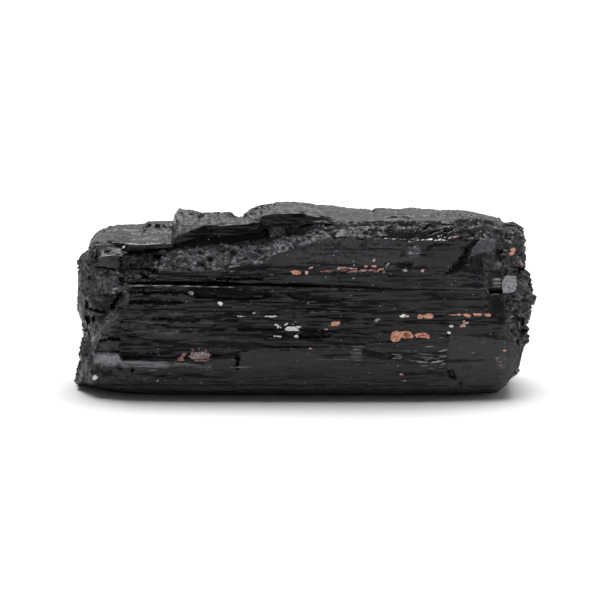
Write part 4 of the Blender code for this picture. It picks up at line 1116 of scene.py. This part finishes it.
# Each mineral's piece, its material, its outlines, how far its plates stand off the stone in
# millimetres, and the colours of its grains and of the dirt between them.
MINERALS = [
    ("orange_feldspar", "iron_stained_feldspar", OCHRE, 0.04, "#e3a68c", "#a65f40"),
    ("rust_stains", "iron_rust", RUST, 0.1, "#b05c33", "#6d3320"),
    ("mauve_feldspar", "mauve_feldspar", MAUVE, 0.04, "#b9a8a9", "#6f5457"),
    ("red_feldspar", "red_feldspar", RED, 0.07, "#ad7875", "#642c2c"),
    ("rose_feldspar", "rose_feldspar", ROSE, 0.04, "#cdaaa7", "#80504e"),
    ("white_feldspar", "white_feldspar", PALE, 0.04, "#faf8f7", "#cdc6c6"),
    ("grey_mica", "mica_scale", GREY, 0.03, "#a3a0a4", "#6b696e"),
]
for piece_name, finish, outlines, standing, grain_colour, dirt_colour in MINERALS:
    grains_piece = joined(piece_name, [
        plate(corners, standing, salt) for salt, corners in enumerate(outlines)])
    # A granular mineral: matt, with grains about 0.4 mm wide, each leaning its own way.
    mineral, tree, place = unfinished(finish)
    clean = mottling(tree, place, (2.4, 2.4, 2.4), 3.0, 0.38, 0.56)
    finish_with(tree, cell_lean(tree, place, (2.5, 2.5, 2.5), 0.45), {
        "Base Color": layered(tree, dirt_colour, [(clean, grain_colour)]), "Roughness": 0.5, "IOR": 1.53})
    grains_piece.data.materials.append(mineral)
    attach(grains_piece, "root")

# ---------------------------------------------------------------------------------------------
# The studio: a pale floor in a white tent, which is dim behind the camera and at the left and has one
# large lamp shining through its ceiling, a little behind the stone.
# ---------------------------------------------------------------------------------------------

FLOOR_SIDE, FLOOR_DROP = 12.0, 2e-5  # metres
BACKDROP = 1.05  # brightness of the tent where the camera sees it
SENSOR_WIDTH = 36  # millimetres
WALL_STRENGTH, FRONT_STRENGTH, LEFT_SHARE, KEY_STRENGTH = 0.6, 0.12, 0.5, 6.3
KEY_LEAN, KEY_EDGE, KEY_CORE = math.radians(20), math.radians(36), math.radians(12)
floor_mesh = bpy.data.meshes.new("floor")
corner = FLOOR_SIDE / 2
floor_corners = [(-corner, -corner), (corner, -corner), (corner, corner), (-corner, corner)]
floor_mesh.from_pydata([(*xy, -FLOOR_DROP) for xy in floor_corners], [], [(0, 1, 2, 3)])
floor = bpy.data.objects.new("floor", floor_mesh)
bpy.context.scene.collection.objects.link(floor)
paper = bpy.data.materials.new("matt_white_paper")
paper.use_nodes = True
paper_shader = paper.node_tree.nodes["Principled BSDF"]
paper_shader.inputs["Base Color"].default_value = linear("#f4f4f4")
paper_shader.inputs["Roughness"].default_value = 1.0
paper_shader.inputs["Specular IOR Level"].default_value = 0.0
floor_mesh.materials.append(paper)

world = bpy.data.worlds.new("white_tent")
bpy.context.scene.world = world
world.use_nodes = True
sky = world.node_tree
sky.nodes.clear()
direction = add(sky, "ShaderNodeTexCoord", output="Generated")


def sky_patch(towards, edge, core, dim, bright):
    """Strength of the tent by the cosine to a direction: dim past the edge, bright inside the core."""
    cosine = add(sky, "ShaderNodeVectorMath", {0: direction, 1: towards}, output="Value",
                 operation="DOT_PRODUCT")
    return add(sky, "ShaderNodeMapRange", {"Value": cosine, "From Min": edge, "From Max": core,
                                           "To Min": dim, "To Max": bright},
               interpolation_type="SMOOTHSTEP")


walls = sky_patch((0, -1, 0), -0.3, 0.5, WALL_STRENGTH, FRONT_STRENGTH)
ceiling = sky_patch((0, math.sin(KEY_LEAN), math.cos(KEY_LEAN)), math.cos(KEY_EDGE), math.cos(KEY_CORE),
                    0.0, KEY_STRENGTH)
left_share = sky_patch((-1, 0, 0), 0.2, 0.8, 1.0, LEFT_SHARE)
shaded_walls = add(sky, "ShaderNodeMath", {0: walls, 1: left_share}, operation="MULTIPLY")
tent = add(sky, "ShaderNodeMath", {0: shaded_walls, 1: ceiling}, operation="ADD")
seen = add(sky, "ShaderNodeLightPath", output="Is Camera Ray")
brightness = add(sky, "ShaderNodeMix", {"Factor": seen, "A": tent, "B": BACKDROP}, output="Result")
background = add(sky, "ShaderNodeBackground", {"Color": (1, 1, 1, 1), "Strength": brightness})
add(sky, "ShaderNodeOutputWorld", {"Surface": background})

camera = bpy.data.cameras.new("camera")
camera.sensor_width = SENSOR_WIDTH
camera.lens = SENSOR_WIDTH * CAMERA_DISTANCE / (SHEET_SIDE * SQUARE)
camera_object = bpy.data.objects.new("camera", camera)
camera_object.location = (AIM[0] * MM, (AIM[1] - CAMERA_DISTANCE * math.cos(CAMERA_ELEVATION)) * MM,
                          (AIM[2] + CAMERA_DISTANCE * math.sin(CAMERA_ELEVATION)) * MM)
camera_object.rotation_euler = (math.radians(90) - CAMERA_ELEVATION, 0, 0)
bpy.context.scene.collection.objects.link(camera_object)
bpy.context.scene.camera = camera_object
bpy.context.scene.view_settings.view_transform = "Standard"
